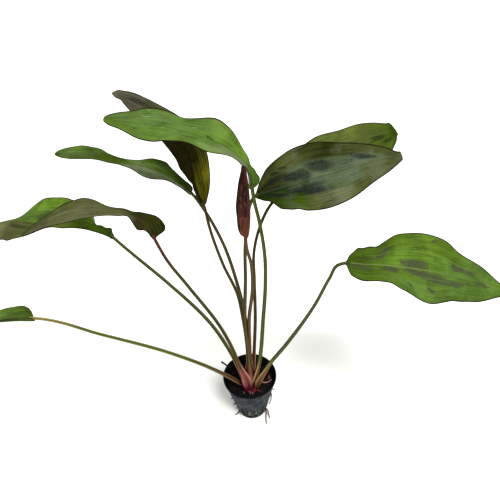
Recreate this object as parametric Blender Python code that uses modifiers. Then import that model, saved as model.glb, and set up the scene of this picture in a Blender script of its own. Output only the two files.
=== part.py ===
"""An echinodorus in a small net pot: pot, growing medium, crown, stems, leaves and main roots.

The origin is the middle of the pot's foot, +Z is up, and -Y is the side that faces the viewer.
"""

import math
from typing import NamedTuple

import bmesh
import bpy
from mathutils import Matrix, Vector

MM = 0.001
CLEARANCE = 0.3 * MM
MERGE = 0.00005

# Net pot
POT_HEIGHT = 55 * MM
POT_FOOT_RADIUS = 14.8 * MM
POT_TOP_RADIUS = 25.9 * MM
POT_LIP_RADIUS = 26.5 * MM
POT_LIP_HEIGHT = 1.8 * MM
POT_WALL = 1.1 * MM
POT_FLOOR = 1.6 * MM
POT_FOOT_CHAMFER = 0.6 * MM
POT_STEPS = 48
SLOT_COUNT = 16
SLOT_WIDTH = 3.2 * MM
SLOT_BOTTOM = 2.4 * MM
SLOT_TOP = 22 * MM
SLOT_CUT_DEPTH = 6 * MM

# Growing medium
MEDIUM_TOP = 45.5 * MM
MEDIUM_DOME = 1.2 * MM
MEDIUM_STEPS = 40
MEDIUM_SHOULDER = 0.5
SHOULDER_DOME = 0.6

# Crown, an oblate dome half sunk in the medium
CROWN_CENTRE = Vector((0.5, -6, 43)) * MM
CROWN_RADIUS = 8.6 * MM
CROWN_HALF_HEIGHT = 4.8 * MM
CROWN_SEGMENTS = 16
CROWN_RINGS = 10

# Where stems start, on two rings above the crown, and one in the middle
STEM_BASE_HEIGHT = 48.3 * MM
INNER_RING = 3.6 * MM
OUTER_RING = 7.5 * MM
STEM_RADIUS = 1.35 * MM
SHEATH_LENGTH = 26 * MM
SHEATH_EASE = 1.5
STEM_POINTS = 17
STEM_CROWDING = 1.15

# Leaf blades
BLADE_THICKNESS = 0.7 * MM
BLADE_ALONG = 12
BLADE_ACROSS = 6
BLADE_GAP = 0.5 * MM
ROLLED_SEGMENTS = 10
ROLLED_RINGS = 12
ROLLED_FLATNESS = 0.55
ROLLED_END_EASE = 4
BLADE_SMOOTH_ANGLE = 80

# Roots
ROOT_RADIUS = 0.75 * MM
ROOT_POINTS = 9
ROOT_TAPER = 0.4


class Leaf(NamedTuple):
    """One leaf. Routes are in millimetres, angles in degrees.

    The widths and angles are read at even steps of the blade's rank, which crowds towards
    the joint and the tip. Left and right are as seen from the joint, with the face up.
    """

    name: str
    ring: float
    azimuth: float
    sheath: float
    stem_route: tuple
    rib_route: tuple
    left_width: tuple
    right_width: tuple
    face: tuple = (0, 0, 1)
    roll: tuple = (0,)
    left_fold: tuple = (0,)
    right_fold: tuple = (0,)
    colour: str = "leaf_green"
    rolled: bool = False


LEAVES = (
    Leaf(
        name="low_left", ring=OUTER_RING, azimuth=192, sheath=1.7,
        stem_route=((-24, -10, 73), (-66, -16, 117), (-116, -26, 160.5), (-158, -36, 196.5)),
        rib_route=((-168, -39, 201), (-186, -43, 204), (-208, -45, 202), (-230, -46, 195)),
        left_width=(1.5, 4, 8, 10, 11, 7, 1),
        right_width=(3, 21, 19, 14, 11, 7, 1),
        roll=(22,), left_fold=(22,), right_fold=(5, 5, 0, -15, -15),
    ),
    Leaf(
        name="left_back", ring=OUTER_RING, azimuth=140, sheath=1.45,
        stem_route=((-13.4, -1, 84.5), (-29.5, 4, 127.5), (-64.5, 12, 180), (-88.5, 19, 207.5),
                    (-101, 22, 223.5)),
        rib_route=((-106, 23, 231), (-113, 24.5, 234.6), (-125, 27, 237), (-139, 30, 235.2),
                   (-155, 33, 233.6), (-169, 35, 234.8), (-182, 37, 237), (-194, 38, 235), (-209, 38, 232)),
        left_width=(1.5, 3.8, 7.5, 8.3, 8.6, 6, 16, 19.5, 13.8, 9.6, 1),
        right_width=(1.5, 4, 2.5, 9.5, 20.2, 27.5, 27.6, 20.2, 13, 8, 1),
        left_fold=(10, 5, 5, -12, -20, -20),
        right_fold=(35, 35, 35, 34, 30, 17, 5, -22, -40, -40, -40),
    ),
    Leaf(
        name="left_arched", ring=OUTER_RING, azimuth=243, sheath=1.45,
        stem_route=((-10.8, -9, 97.5), (-20, -10, 137.5), (-42.5, -13, 198), (-53.5, -15, 227),
                    (-59, -16, 249.5)),
        rib_route=((-62, -16, 262), (-70, -17, 272), (-84, -19, 277), (-105.5, -24, 280),
                   (-124, -29, 279), (-142, -34, 273)),
        left_width=(1.5, 1.5, 5, 7.5, 6, 14, 20, 13, 7, 3, 1),
        right_width=(3, 10.5, 10.5, 5, 7, 17, 14, 10, 7, 4, 1),
        face=(0.7, 0, 1), roll=(-60, -58, -30, 0, 0, 0, 0),
        left_fold=(0, 0, 0, 14, 33, 33, 33, 33, 33, 33, 33),
        right_fold=(0, 0, 0, -12, -28, -8, 4, -4, -20, -30, -30), colour="leaf_olive",
    ),
    Leaf(
        name="upper_left", ring=INNER_RING, azimuth=98, sheath=1.0,
        stem_route=((1, 6, 89.5), (0, 12, 130), (-5, 20, 168), (-14, 29, 205.5), (-26, 37, 233),
                    (-35, 41, 248)),
        rib_route=((-49, 44, 261), (-69, 48, 271), (-92, 51, 276), (-114, 53, 284), (-137, 54, 285)),
        left_width=(1.5, 2, 6, 7, 16, 9, 11, 20, 12, 5.5, 1),
        right_width=(1.5, 6, 7.5, 11, 14.5, 8.5, 12, 15, 8.5, 4.5, 1),
        left_fold=(10, 10, 8, 22, 10, 6), right_fold=(10, 6, 0, -12, 0, 2),
    ),
    Leaf(
        name="dark_back", ring=INNER_RING, azimuth=160, sheath=1.0,
        stem_route=((0, 2, 90), (-1.5, 7, 129), (-4.5, 11, 158.5), (-14.5, 16, 191), (-22.5, 23, 227),
                    (-25, 28, 244.5)),
        rib_route=((-30, 33, 259.5), (-31, 38, 270), (-34, 43, 285), (-43, 52, 301), (-62, 64, 313.5),
                   (-87, 74, 322)),
        left_width=(1.5, 1.5, 2, 6, 10, 13, 14.5, 11, 6, 3, 1),
        right_width=(1.5, 4.5, 11, 13, 15, 13.5, 10.5, 10, 10.5, 7.5, 1),
        face=(0.2, -0.4, 1), roll=(0, -20, -25, -25), left_fold=(10,),
        right_fold=(10, 0, -15, -35, -45, -45), colour="leaf_maroon",
    ),
    Leaf(
        name="top", ring=INNER_RING, azimuth=345, sheath=1.0,
        stem_route=((12, -9, 99), (16, -9, 144.5), (19.5, -10, 191.5), (20, -11, 218), (17, -13, 256),
                    (14, -14, 277), (13.4, -14, 284.5)),
        rib_route=((13.2, -14, 290), (12.3, -14, 295.5), (10.8, -13.5, 302.5), (6.8, -12.5, 308.3),
                   (-1.8, -10.5, 315.8), (-14.3, -8, 321.8), (-28.6, -5, 326.3), (-38.9, -3, 328.8),
                   (-54.5, 0, 331), (-77.9, 2, 334.6)),
        left_width=(1, 0.8, 1.2, 7.5, 18.5, 18.8, 17.5, 15.5, 8.6, 5, 1),
        right_width=(1, 5.4, 3.8, 6.8, 14, 15.8, 17, 12.6, 8.1, 4.2, 1),
        face=(0.6, -0.3, 1), roll=(-40, -38, -10, 0, 0, 0, 0),
        left_fold=(10, 10, 30, 22, 10, 8, 8), right_fold=(0, 0, 8, 3, 2, 8, 8),
    ),
    Leaf(
        name="young", ring=0, azimuth=0, sheath=1.0,
        stem_route=((2.5, -1.5, 106), (4, -2.5, 141), (9, -4, 182), (9, -5.5, 210), (6.5, -7, 227.5),
                    (6.5, -7, 238.5)),
        rib_route=((8, -7, 248), (10, -6, 270), (10, -4, 284), (9, -2, 297)),
        left_width=(1.2, 5.8, 8.2, 9, 6.4, 2.8, 0.8),
        right_width=(1.2, 5.8, 8.2, 9, 6.4, 2.8, 0.8),
        face=(-1, 0, 0), colour="leaf_maroon", rolled=True,
    ),
    Leaf(
        name="right_front", ring=INNER_RING, azimuth=265, sheath=1.0,
        stem_route=((0.5, -4.5, 98), (0, -2, 135), (3.5, 3, 183.5), (5.5, 4, 220.5), (9.5, 5, 251.5),
                    (15.5, 4, 266)),
        rib_route=((26.5, 3, 270.5), (41, 1, 275.5), (57.5, -1, 281.5), (73.5, -4, 287),
                   (93.5, -8, 295.5), (113.5, -12, 299)),
        left_width=(1.5, 3, 14, 22, 25.5, 24.5, 19.5, 13, 8.5, 4, 1),
        right_width=(1.5, 4, 9, 17, 23, 25, 22, 16, 10, 4, 1),
        roll=(38,), left_fold=(6,), right_fold=(6,), colour="leaf_olive",
    ),
    Leaf(
        name="right_back", ring=INNER_RING, azimuth=40, sheath=1.0,
        stem_route=((6.5, 5, 89), (9.5, 9, 128.5), (11, 14, 172), (12.5, 17, 203.5), (20, 21, 229.5),
                    (26, 22, 242), (30, 24, 246.5)),
        rib_route=((41, 27, 256), (59, 30, 266.5), (86, 36, 277.5), (109.5, 42, 283.5), (127, 46, 287)),
        left_width=(1.5, 6, 12, 18, 22, 24, 20, 18, 14, 10, 1),
        right_width=(1.5, 10, 19, 23, 24, 22.5, 20, 17, 14, 6, 1),
        roll=(22,), left_fold=(6,), right_fold=(6,),
    ),
    Leaf(
        name="right_low", ring=OUTER_RING, azimuth=328, sheath=1.6,
        stem_route=((19, -9, 80.5), (36, -10, 112), (61, -12, 166.5), (70.5, -13, 194.5),
                    (76.5, -13, 208), (82.5, -14, 210.5)),
        rib_route=((95, -16, 210), (111.5, -18, 209), (129.5, -22, 208), (151.5, -27, 205.5),
                   (177, -33, 200.5), (205, -40, 193)),
        left_width=(1.5, 8, 12.5, 17, 28, 28.5, 18.5, 12, 5, 2.5, 1),
        right_width=(1.5, 9, 14, 14, 19, 26.5, 20, 16.5, 9, 4, 1),
        roll=(28,), left_fold=(5,), right_fold=(5,),
    ),
)

# Roots from the pot's slots down to the table, in millimetres
ROOTS = {
    "root_right_long": ((12.6, -8.4, 5.4), (14.4, -10.8, 4), (13.6, -14.5, 2.2), (13.3, -18.5, 1),
                        (13.5, -22.5, 0.7)),
    "root_right_short": ((13.1, -8.8, 8.6), (15.7, -10.6, 6.4), (16.6, -13, 2.6), (17.2, -16.3, 0.7)),
    "root_left": ((-12.6, -8.4, 5.4), (-14.8, -9.6, 4.2), (-16.6, -9.6, 2), (-18.6, -9, 0.7)),
}

# Colour, roughness and metallic value of each surface
FINISHES = {
    "pot_black": ((0.022, 0.026, 0.034), 0.45, 0.0),
    "medium_dark": ((0.02, 0.014, 0.01), 0.9, 0.0),
    "crown_red": ((0.32, 0.04, 0.05), 0.5, 0.0),
    "stem_olive": ((0.12, 0.12, 0.03), 0.45, 0.0),
    "leaf_green": ((0.12, 0.3, 0.03), 0.45, 0.0),
    "leaf_olive": ((0.09, 0.1, 0.045), 0.45, 0.0),
    "leaf_maroon": ((0.05, 0.025, 0.02), 0.4, 0.0),
    "root_brown": ((0.25, 0.1, 0.05), 0.6, 0.0),
}


class SmoothPath:
    """A smooth path through a route's points, measured by its chord length."""

    def __init__(self, points):
        self.points = [Vector(point) for point in points]
        steps = [b - a for a, b in zip(self.points, self.points[1:])]
        self.lengths = [step.length for step in steps]
        self.starts = [0.0]
        for length in self.lengths:
            self.starts.append(self.starts[-1] + length)
        slopes = [step / length for step, length in zip(steps, self.lengths)]
        self.tangents = [Vector() for _ in self.points]
        for i in range(1, len(slopes)):
            weight = self.lengths[i] / (self.lengths[i - 1] + self.lengths[i])
            self.tangents[i] = slopes[i - 1] * weight + slopes[i] * (1 - weight)
        self.tangents[0] = slopes[0] * 1.5 - self.tangents[1] * 0.5
        self.tangents[-1] = slopes[-1] * 1.5 - self.tangents[-2] * 0.5

    def segment(self, distance):
        """The index of the stretch that holds a distance along the path."""
        for i, start in enumerate(self.starts[1:]):
            if distance <= start:
                return i
        return len(self.lengths) - 1

    def at(self, distance):
        """The place and direction at a distance along the path."""
        i = self.segment(distance)
        length = self.lengths[i]
        f = (distance - self.starts[i]) / length
        a, b = self.points[i], self.points[i + 1]
        lead_in, lead_out = self.tangents[i] * length, self.tangents[i + 1] * length
        place = (a * (2 * f**3 - 3 * f**2 + 1) + lead_in * (f**3 - 2 * f**2 + f)
                 + b * (3 * f**2 - 2 * f**3) + lead_out * (f**3 - f**2))
        heading = ((b - a) * (6 * f - 6 * f**2) + lead_in * (3 * f**2 - 4 * f + 1)
                   + lead_out * (3 * f**2 - 2 * f))
        return place, heading.normalized()


def reading(stations, rank):
    """A smooth reading from values set at even steps of rank 0 to 1."""
    last = len(stations) - 1
    if last == 0:
        return stations[0]
    x = min(max(rank, 0.0), 1.0) * last
    i = min(int(x), last - 1)
    f = x - i
    rises = [b - a for a, b in zip(stations, stations[1:])]

    def slope(k):
        if k == 0:
            return 1.5 * rises[0] - 0.5 * slope(1) if last > 1 else rises[0]
        if k == last:
            return 1.5 * rises[-1] - 0.5 * slope(last - 1) if last > 1 else rises[0]
        return 0.5 * (rises[k - 1] + rises[k])

    return (stations[i] * (2 * f**3 - 3 * f**2 + 1) + slope(i) * (f**3 - 2 * f**2 + f)
            + stations[i + 1] * (3 * f**2 - 2 * f**3) + slope(i + 1) * (f**3 - f**2))


def stem_base(leaf):
    """The point above the crown where a leaf's stem starts."""
    angle = math.radians(leaf.azimuth)
    return Vector((
        CROWN_CENTRE.x + leaf.ring * math.cos(angle),
        CROWN_CENTRE.y + leaf.ring * math.sin(angle),
        STEM_BASE_HEIGHT,
    ))


class LeafAxis:
    """The line of a whole leaf: up its stem, and on along the blade's midrib."""

    def __init__(self, leaf):
        route = [Vector(point) * MM for point in leaf.stem_route + leaf.rib_route]
        self.leaf = leaf
        self.path = SmoothPath([stem_base(leaf)] + route)
        self.joint = self.path.starts[len(leaf.stem_route)]
        self.tip = self.path.starts[-1]

    def frame(self, rank):
        """Place, heading, face direction and right-hand direction on the midrib."""
        start = self.joint + BLADE_GAP
        distance = start + (self.tip - start) * (0.5 - 0.5 * math.cos(math.pi * rank))
        place, heading = self.path.at(distance)
        face = Vector(self.leaf.face)
        face = (face - heading * heading.dot(face)).normalized()
        right = heading.cross(face)
        angle = math.radians(reading(self.leaf.roll, rank))
        turned_face = face * math.cos(angle) + right * math.sin(angle)
        turned_right = right * math.cos(angle) - face * math.sin(angle)
        return place, heading, turned_face, turned_right

    def blade_point(self, rank, across):
        """A point of the blade, from across -1 at the left edge to 1 at the right edge."""
        place, _, face, right = self.frame(rank)
        leaf = self.leaf
        widths, folds, side = ((leaf.right_width, leaf.right_fold, 1) if across > 0
                               else (leaf.left_width, leaf.left_fold, -1))
        reach = reading(widths, rank) * MM * abs(across)
        fold = math.radians(reading(folds, rank))
        return place + right * (side * reach * math.cos(fold)) + face * (reach * math.sin(fold))


def clear_scene():
    """Take away whatever objects the file holds."""
    for old in list(bpy.data.objects):
        bpy.data.objects.remove(old, do_unlink=True)


def make_collection(name):
    """A new collection, linked to the scene."""
    collection = bpy.data.collections.new(name)
    bpy.context.scene.collection.children.link(collection)
    return collection


def make_material(name):
    """The plain material of one finish."""
    colour, roughness, metallic = FINISHES[name]
    material = bpy.data.materials.new(name)
    material.use_nodes = True
    shader = material.node_tree.nodes["Principled BSDF"]
    shader.inputs["Base Color"].default_value = (*colour, 1.0)
    shader.inputs["Roughness"].default_value = roughness
    shader.inputs["Metallic"].default_value = metallic
    return material


def add_object(name, data, collection, material=None):
    """A named object of the given data, in a collection."""
    thing = bpy.data.objects.new(name, data)
    collection.objects.link(thing)
    if material:
        data.materials.append(material)
    return thing


def mesh_from(shape, name, smooth_angle=40):
    """A smooth-shaded mesh of a bmesh, with edges sharper than an angle left sharp."""
    mesh = bpy.data.meshes.new(name)
    shape.to_mesh(mesh)
    shape.free()
    mesh.shade_smooth()
    mesh.set_sharp_from_angle(angle=math.radians(smooth_angle))
    return mesh


def add_screw(thing, steps):
    """Turn a profile once round the Z axis."""
    screw = thing.modifiers.new("turn", "SCREW")
    screw.axis = "Z"
    screw.steps = steps
    screw.render_steps = steps
    screw.use_merge_vertices = True
    screw.merge_threshold = MERGE
    screw.use_smooth_shade = True


def make_turned(name, profile, steps, collection, material):
    """A closed turned shape from a profile of radius and height pairs, top to bottom outside."""
    shape = bmesh.new()
    points = [shape.verts.new((radius, 0, height)) for radius, height in profile]
    for a, b in zip(points, points[1:]):
        shape.edges.new((a, b))
    thing = add_object(name, mesh_from(shape, name), collection, material)
    add_screw(thing, steps)
    return thing


def cut(thing, cutter):
    """Take a cutter's shape out of an object."""
    boolean = thing.modifiers.new("cut by " + cutter.name, "BOOLEAN")
    boolean.operation = "DIFFERENCE"
    boolean.solver = "EXACT"
    boolean.object = cutter


def as_cutter(thing):
    """Mark an object as a cutter, seen as wire only."""
    thing.hide_render = True
    thing.display_type = "WIRE"
    return thing


def wall_radius(height):
    """The outer radius of the pot's wall at a height."""
    share = height / (POT_HEIGHT - POT_LIP_HEIGHT)
    return POT_FOOT_RADIUS + (POT_TOP_RADIUS - POT_FOOT_RADIUS) * share


def make_slot_cutter(collection):
    """A ring of leaning bars, one for each slot of the pot's lower wall."""
    shape = bmesh.new()
    middle = 0.5 * (SLOT_BOTTOM + SLOT_TOP)
    lean = math.atan2(POT_TOP_RADIUS - POT_FOOT_RADIUS, POT_HEIGHT - POT_LIP_HEIGHT)
    height = (SLOT_TOP - SLOT_BOTTOM) / math.cos(lean)
    size = Matrix.Diagonal((SLOT_CUT_DEPTH, SLOT_WIDTH, height, 1))
    for i in range(SLOT_COUNT):
        turn = Matrix.Rotation(2 * math.pi * (i + 0.5) / SLOT_COUNT, 4, "Z")
        place = Matrix.Translation((wall_radius(middle) - POT_WALL / 2, 0, middle))
        tilt = Matrix.Rotation(lean, 4, "Y")
        bmesh.ops.create_cube(shape, size=1, matrix=turn @ place @ tilt @ size)
    return as_cutter(add_object("slot_cutter", mesh_from(shape, "slot_cutter"), collection))


def make_pot(parts, cutters, material):
    """The net pot: a turned cup with a thin lip, slotted in its lower half."""
    inside_foot = wall_radius(POT_FLOOR) - POT_WALL
    inside_top = wall_radius(POT_HEIGHT) - POT_WALL
    lip_foot = POT_HEIGHT - POT_LIP_HEIGHT
    profile = (
        (0, POT_FLOOR),
        (inside_foot, POT_FLOOR),
        (inside_top, POT_HEIGHT),
        (POT_LIP_RADIUS, POT_HEIGHT),
        (POT_LIP_RADIUS, lip_foot),
        (POT_TOP_RADIUS, lip_foot),
        (wall_radius(POT_FOOT_CHAMFER), POT_FOOT_CHAMFER),
        (POT_FOOT_RADIUS - POT_FOOT_CHAMFER, 0),
        (0, 0),
    )
    pot = make_turned("net_pot", profile, POT_STEPS, parts, material)
    cut(pot, make_slot_cutter(cutters))
    return pot


def make_dome(name, growth, parts, material=None):
    """The crown's oblate dome, larger by a growth on all sides."""
    shape = bmesh.new()
    bmesh.ops.create_uvsphere(shape, u_segments=CROWN_SEGMENTS, v_segments=CROWN_RINGS, radius=1)
    radius = CROWN_RADIUS + growth
    half_height = CROWN_HALF_HEIGHT + growth
    stretch = Matrix.Diagonal((radius, radius, half_height, 1))
    bmesh.ops.transform(shape, matrix=Matrix.Translation(CROWN_CENTRE) @ stretch, verts=shape.verts)
    return add_object(name, mesh_from(shape, name), parts, material)


def make_medium(parts, cutters, material):
    """The plug of growing medium, with a pocket for the crown."""
    bottom = POT_FLOOR + CLEARANCE
    inset = POT_WALL + CLEARANCE
    profile = (
        (0, MEDIUM_TOP + MEDIUM_DOME),
        (wall_radius(MEDIUM_TOP) * MEDIUM_SHOULDER, MEDIUM_TOP + MEDIUM_DOME * SHOULDER_DOME),
        (wall_radius(MEDIUM_TOP) - inset - MEDIUM_DOME, MEDIUM_TOP),
        (wall_radius(MEDIUM_TOP - MEDIUM_DOME) - inset, MEDIUM_TOP - MEDIUM_DOME),
        (wall_radius(bottom) - inset, bottom),
        (0, bottom),
    )
    medium = make_turned("growing_medium", profile, MEDIUM_STEPS, parts, material)
    cut(medium, as_cutter(make_dome("crown_pocket", CLEARANCE, cutters)))
    return medium


def make_tube(name, samples, depth, parts, material):
    """A round tube through samples of a place and a share of the depth."""
    curve = bpy.data.curves.new(name, "CURVE")
    curve.dimensions = "3D"
    curve.bevel_depth = depth
    curve.bevel_resolution = 2
    curve.use_fill_caps = True
    line = curve.splines.new("POLY")
    line.points.add(len(samples) - 1)
    for point, (place, share) in zip(line.points, samples):
        point.co = (*place, 1)
        point.radius = share
    line.use_smooth = True
    return add_object(name, curve, parts, material)


def make_stem(leaf, axis, parts, material):
    """A leaf stalk, wider where its sheath clasps the crown."""
    end = axis.joint - CLEARANCE
    samples = []
    for i in range(STEM_POINTS):
        distance = end * (i / (STEM_POINTS - 1)) ** STEM_CROWDING
        swell = (leaf.sheath - 1) * max(0.0, 1 - distance / SHEATH_LENGTH) ** SHEATH_EASE
        samples.append((axis.path.at(distance)[0], 1 + swell))
    return make_tube("stem_" + leaf.name, samples, STEM_RADIUS, parts, material)


def make_blade(leaf, axis, parts, material):
    """An open blade: a grid laid along the midrib, and given its thickness."""
    shape = bmesh.new()
    bmesh.ops.create_grid(shape, x_segments=BLADE_ACROSS, y_segments=BLADE_ALONG, size=1)
    for point in shape.verts:
        point.co = axis.blade_point(0.5 * (point.co.y + 1), point.co.x)
    name = "leaf_" + leaf.name
    blade = add_object(name, mesh_from(shape, name, BLADE_SMOOTH_ANGLE), parts, material)
    solid = blade.modifiers.new("thickness", "SOLIDIFY")
    solid.thickness = BLADE_THICKNESS
    solid.offset = 0
    return blade


def make_rolled_blade(leaf, axis, parts, material):
    """The young blade, still rolled round itself: a flattened spindle beside its midrib."""
    shape = bmesh.new()
    bmesh.ops.create_uvsphere(shape, u_segments=ROLLED_SEGMENTS, v_segments=ROLLED_RINGS, radius=1)
    for point in shape.verts:
        rank = math.acos(max(-1.0, min(1.0, -point.co.z))) / math.pi
        ring = math.sqrt(max(1e-9, 1 - point.co.z**2))
        place, _, face, right = axis.frame(rank)
        half = 0.5 * reading(leaf.left_width, rank) * MM * min(1.0, ROLLED_END_EASE * ring)
        middle = place + face * half
        lean = point.co.x / ring * half
        depth = point.co.y / ring * half * ROLLED_FLATNESS
        point.co = middle + face * lean + right * depth
    bmesh.ops.recalc_face_normals(shape, faces=shape.faces)
    name = "leaf_" + leaf.name
    return add_object(name, mesh_from(shape, name, BLADE_SMOOTH_ANGLE), parts, material)


def make_root(name, route, parts, material):
    """A main root, thinner towards its tip."""
    path = SmoothPath([Vector(point) * MM for point in route])
    total = path.starts[-1]
    samples = []
    for i in range(ROOT_POINTS):
        share = i / (ROOT_POINTS - 1)
        samples.append((path.at(total * share)[0], 1 - ROOT_TAPER * share))
    return make_tube(name, samples, ROOT_RADIUS, parts, material)


def main():
    """Build the whole potted plant."""
    clear_scene()
    parts = make_collection("echinodorus_felix")
    cutters = make_collection("cutters")
    materials = {name: make_material(name) for name in FINISHES}
    make_pot(parts, cutters, materials["pot_black"])
    make_medium(parts, cutters, materials["medium_dark"])
    make_dome("crown", 0, parts, materials["crown_red"])
    for leaf in LEAVES:
        axis = LeafAxis(leaf)
        make_stem(leaf, axis, parts, materials["stem_olive"])
        shape_blade = make_rolled_blade if leaf.rolled else make_blade
        shape_blade(leaf, axis, parts, materials[leaf.colour])
    for name, route in ROOTS.items():
        make_root(name, route, parts, materials["root_brown"])


main()
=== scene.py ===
"""The looks of an echinodorus in a small net pot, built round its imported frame.

Lengths are in metres, and MM turns a value in millimetres into metres. The pot's foot stands on
the origin, +Z is up and -Y is the side that faces the camera. Left and right on a blade are as
seen from its joint with the stem, with the face up.
"""

import logging
import math
import random
from dataclasses import dataclass, field
from enum import Enum
from typing import Any, Callable, Iterable, Iterator, Sequence, Union

import bmesh
import bpy
from mathutils import Matrix, Vector, noise


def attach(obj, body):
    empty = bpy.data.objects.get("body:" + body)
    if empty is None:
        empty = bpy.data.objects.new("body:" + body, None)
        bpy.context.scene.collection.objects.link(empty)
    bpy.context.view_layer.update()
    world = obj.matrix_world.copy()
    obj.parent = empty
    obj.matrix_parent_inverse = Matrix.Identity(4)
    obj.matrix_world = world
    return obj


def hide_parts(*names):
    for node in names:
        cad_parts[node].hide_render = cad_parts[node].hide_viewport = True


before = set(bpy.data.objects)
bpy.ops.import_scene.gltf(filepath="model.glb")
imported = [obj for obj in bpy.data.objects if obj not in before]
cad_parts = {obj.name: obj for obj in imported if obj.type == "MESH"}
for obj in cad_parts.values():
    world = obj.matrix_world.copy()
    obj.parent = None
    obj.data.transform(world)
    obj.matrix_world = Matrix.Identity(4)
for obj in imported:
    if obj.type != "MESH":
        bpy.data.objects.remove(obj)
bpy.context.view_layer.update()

LOG = logging.getLogger("echinodorus")
MM = 0.001
BODY = "root"
FULL_TURN = 2 * math.pi
WELD = 0.004 * MM
BLADE_ROWS = 104
BLADE_COLUMNS = 46
STALK_ROWS = 120
STALK_COLUMNS = 28
MIDRIB_CROWDING = 0.3
SPECK_WHITE = (0.5, 0.52, 0.4)

Colour = tuple[float, float, float]
Place = tuple[float, float, float]
Tones = tuple[tuple[float, Colour], ...]
Number = Union[float, "Signal"]
Paintable = Union[Colour, bpy.types.NodeSocket]


class Slot(Enum):
    """The record's material slots."""

    POT = "pot"
    MEDIUM = "medium"
    CROWN = "crown"
    STEM = "stem"
    GREEN = "leaf_green"
    OLIVE = "leaf_olive"
    MAROON = "leaf_maroon"
    ROOT = "root"


class Signal:
    """A shader value whose operators add Math nodes."""

    def __init__(self, paint: "Paint", socket: bpy.types.NodeSocket) -> None:
        """Wrap an output socket of a paint's node tree."""
        self.paint = paint
        self.socket = socket

    def _math(self, operation: str, *others: Number, swapped: bool = False) -> "Signal":
        """Add a Math node.

        Args:
            operation: The Math node's operation.
            others: The values beside this one.
            swapped: Whether this value comes last.

        Returns:
            The node's output.
        """
        values = (*others, self) if swapped else (self, *others)
        made = self.paint.node("ShaderNodeMath", {"operation": operation}, dict(enumerate(values)))
        return Signal(self.paint, made.outputs[0])

    def __add__(self, other: Number) -> "Signal":
        """The sum."""
        return self._math("ADD", other)

    __radd__ = __add__

    def __sub__(self, other: Number) -> "Signal":
        """The difference."""
        return self._math("SUBTRACT", other)

    def __rsub__(self, other: Number) -> "Signal":
        """The difference, this value last."""
        return self._math("SUBTRACT", other, swapped=True)

    def __mul__(self, other: Number) -> "Signal":
        """The product."""
        return self._math("MULTIPLY", other)

    __rmul__ = __mul__

    def __abs__(self) -> "Signal":
        """The size without its sign."""
        return self._math("ABSOLUTE")

    def most(self, other: Number) -> "Signal":
        """The larger of two values."""
        return self._math("MAXIMUM", other)

    def wave(self) -> "Signal":
        """A sine wave that runs from 0 to 1 and back once for each 1 of this value."""
        return (self * FULL_TURN)._math("SINE") * 0.5 + 0.5

    def eased(self, low: float, high: float) -> "Signal":
        """A smooth step from 0 at low to 1 at high, which may be the smaller."""
        made = self.paint.node(
            "ShaderNodeMapRange", {"interpolation_type": "SMOOTHSTEP"},
            {"Value": self, "From Min": low, "From Max": high},
        )
        return Signal(self.paint, made.outputs[0])


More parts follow.
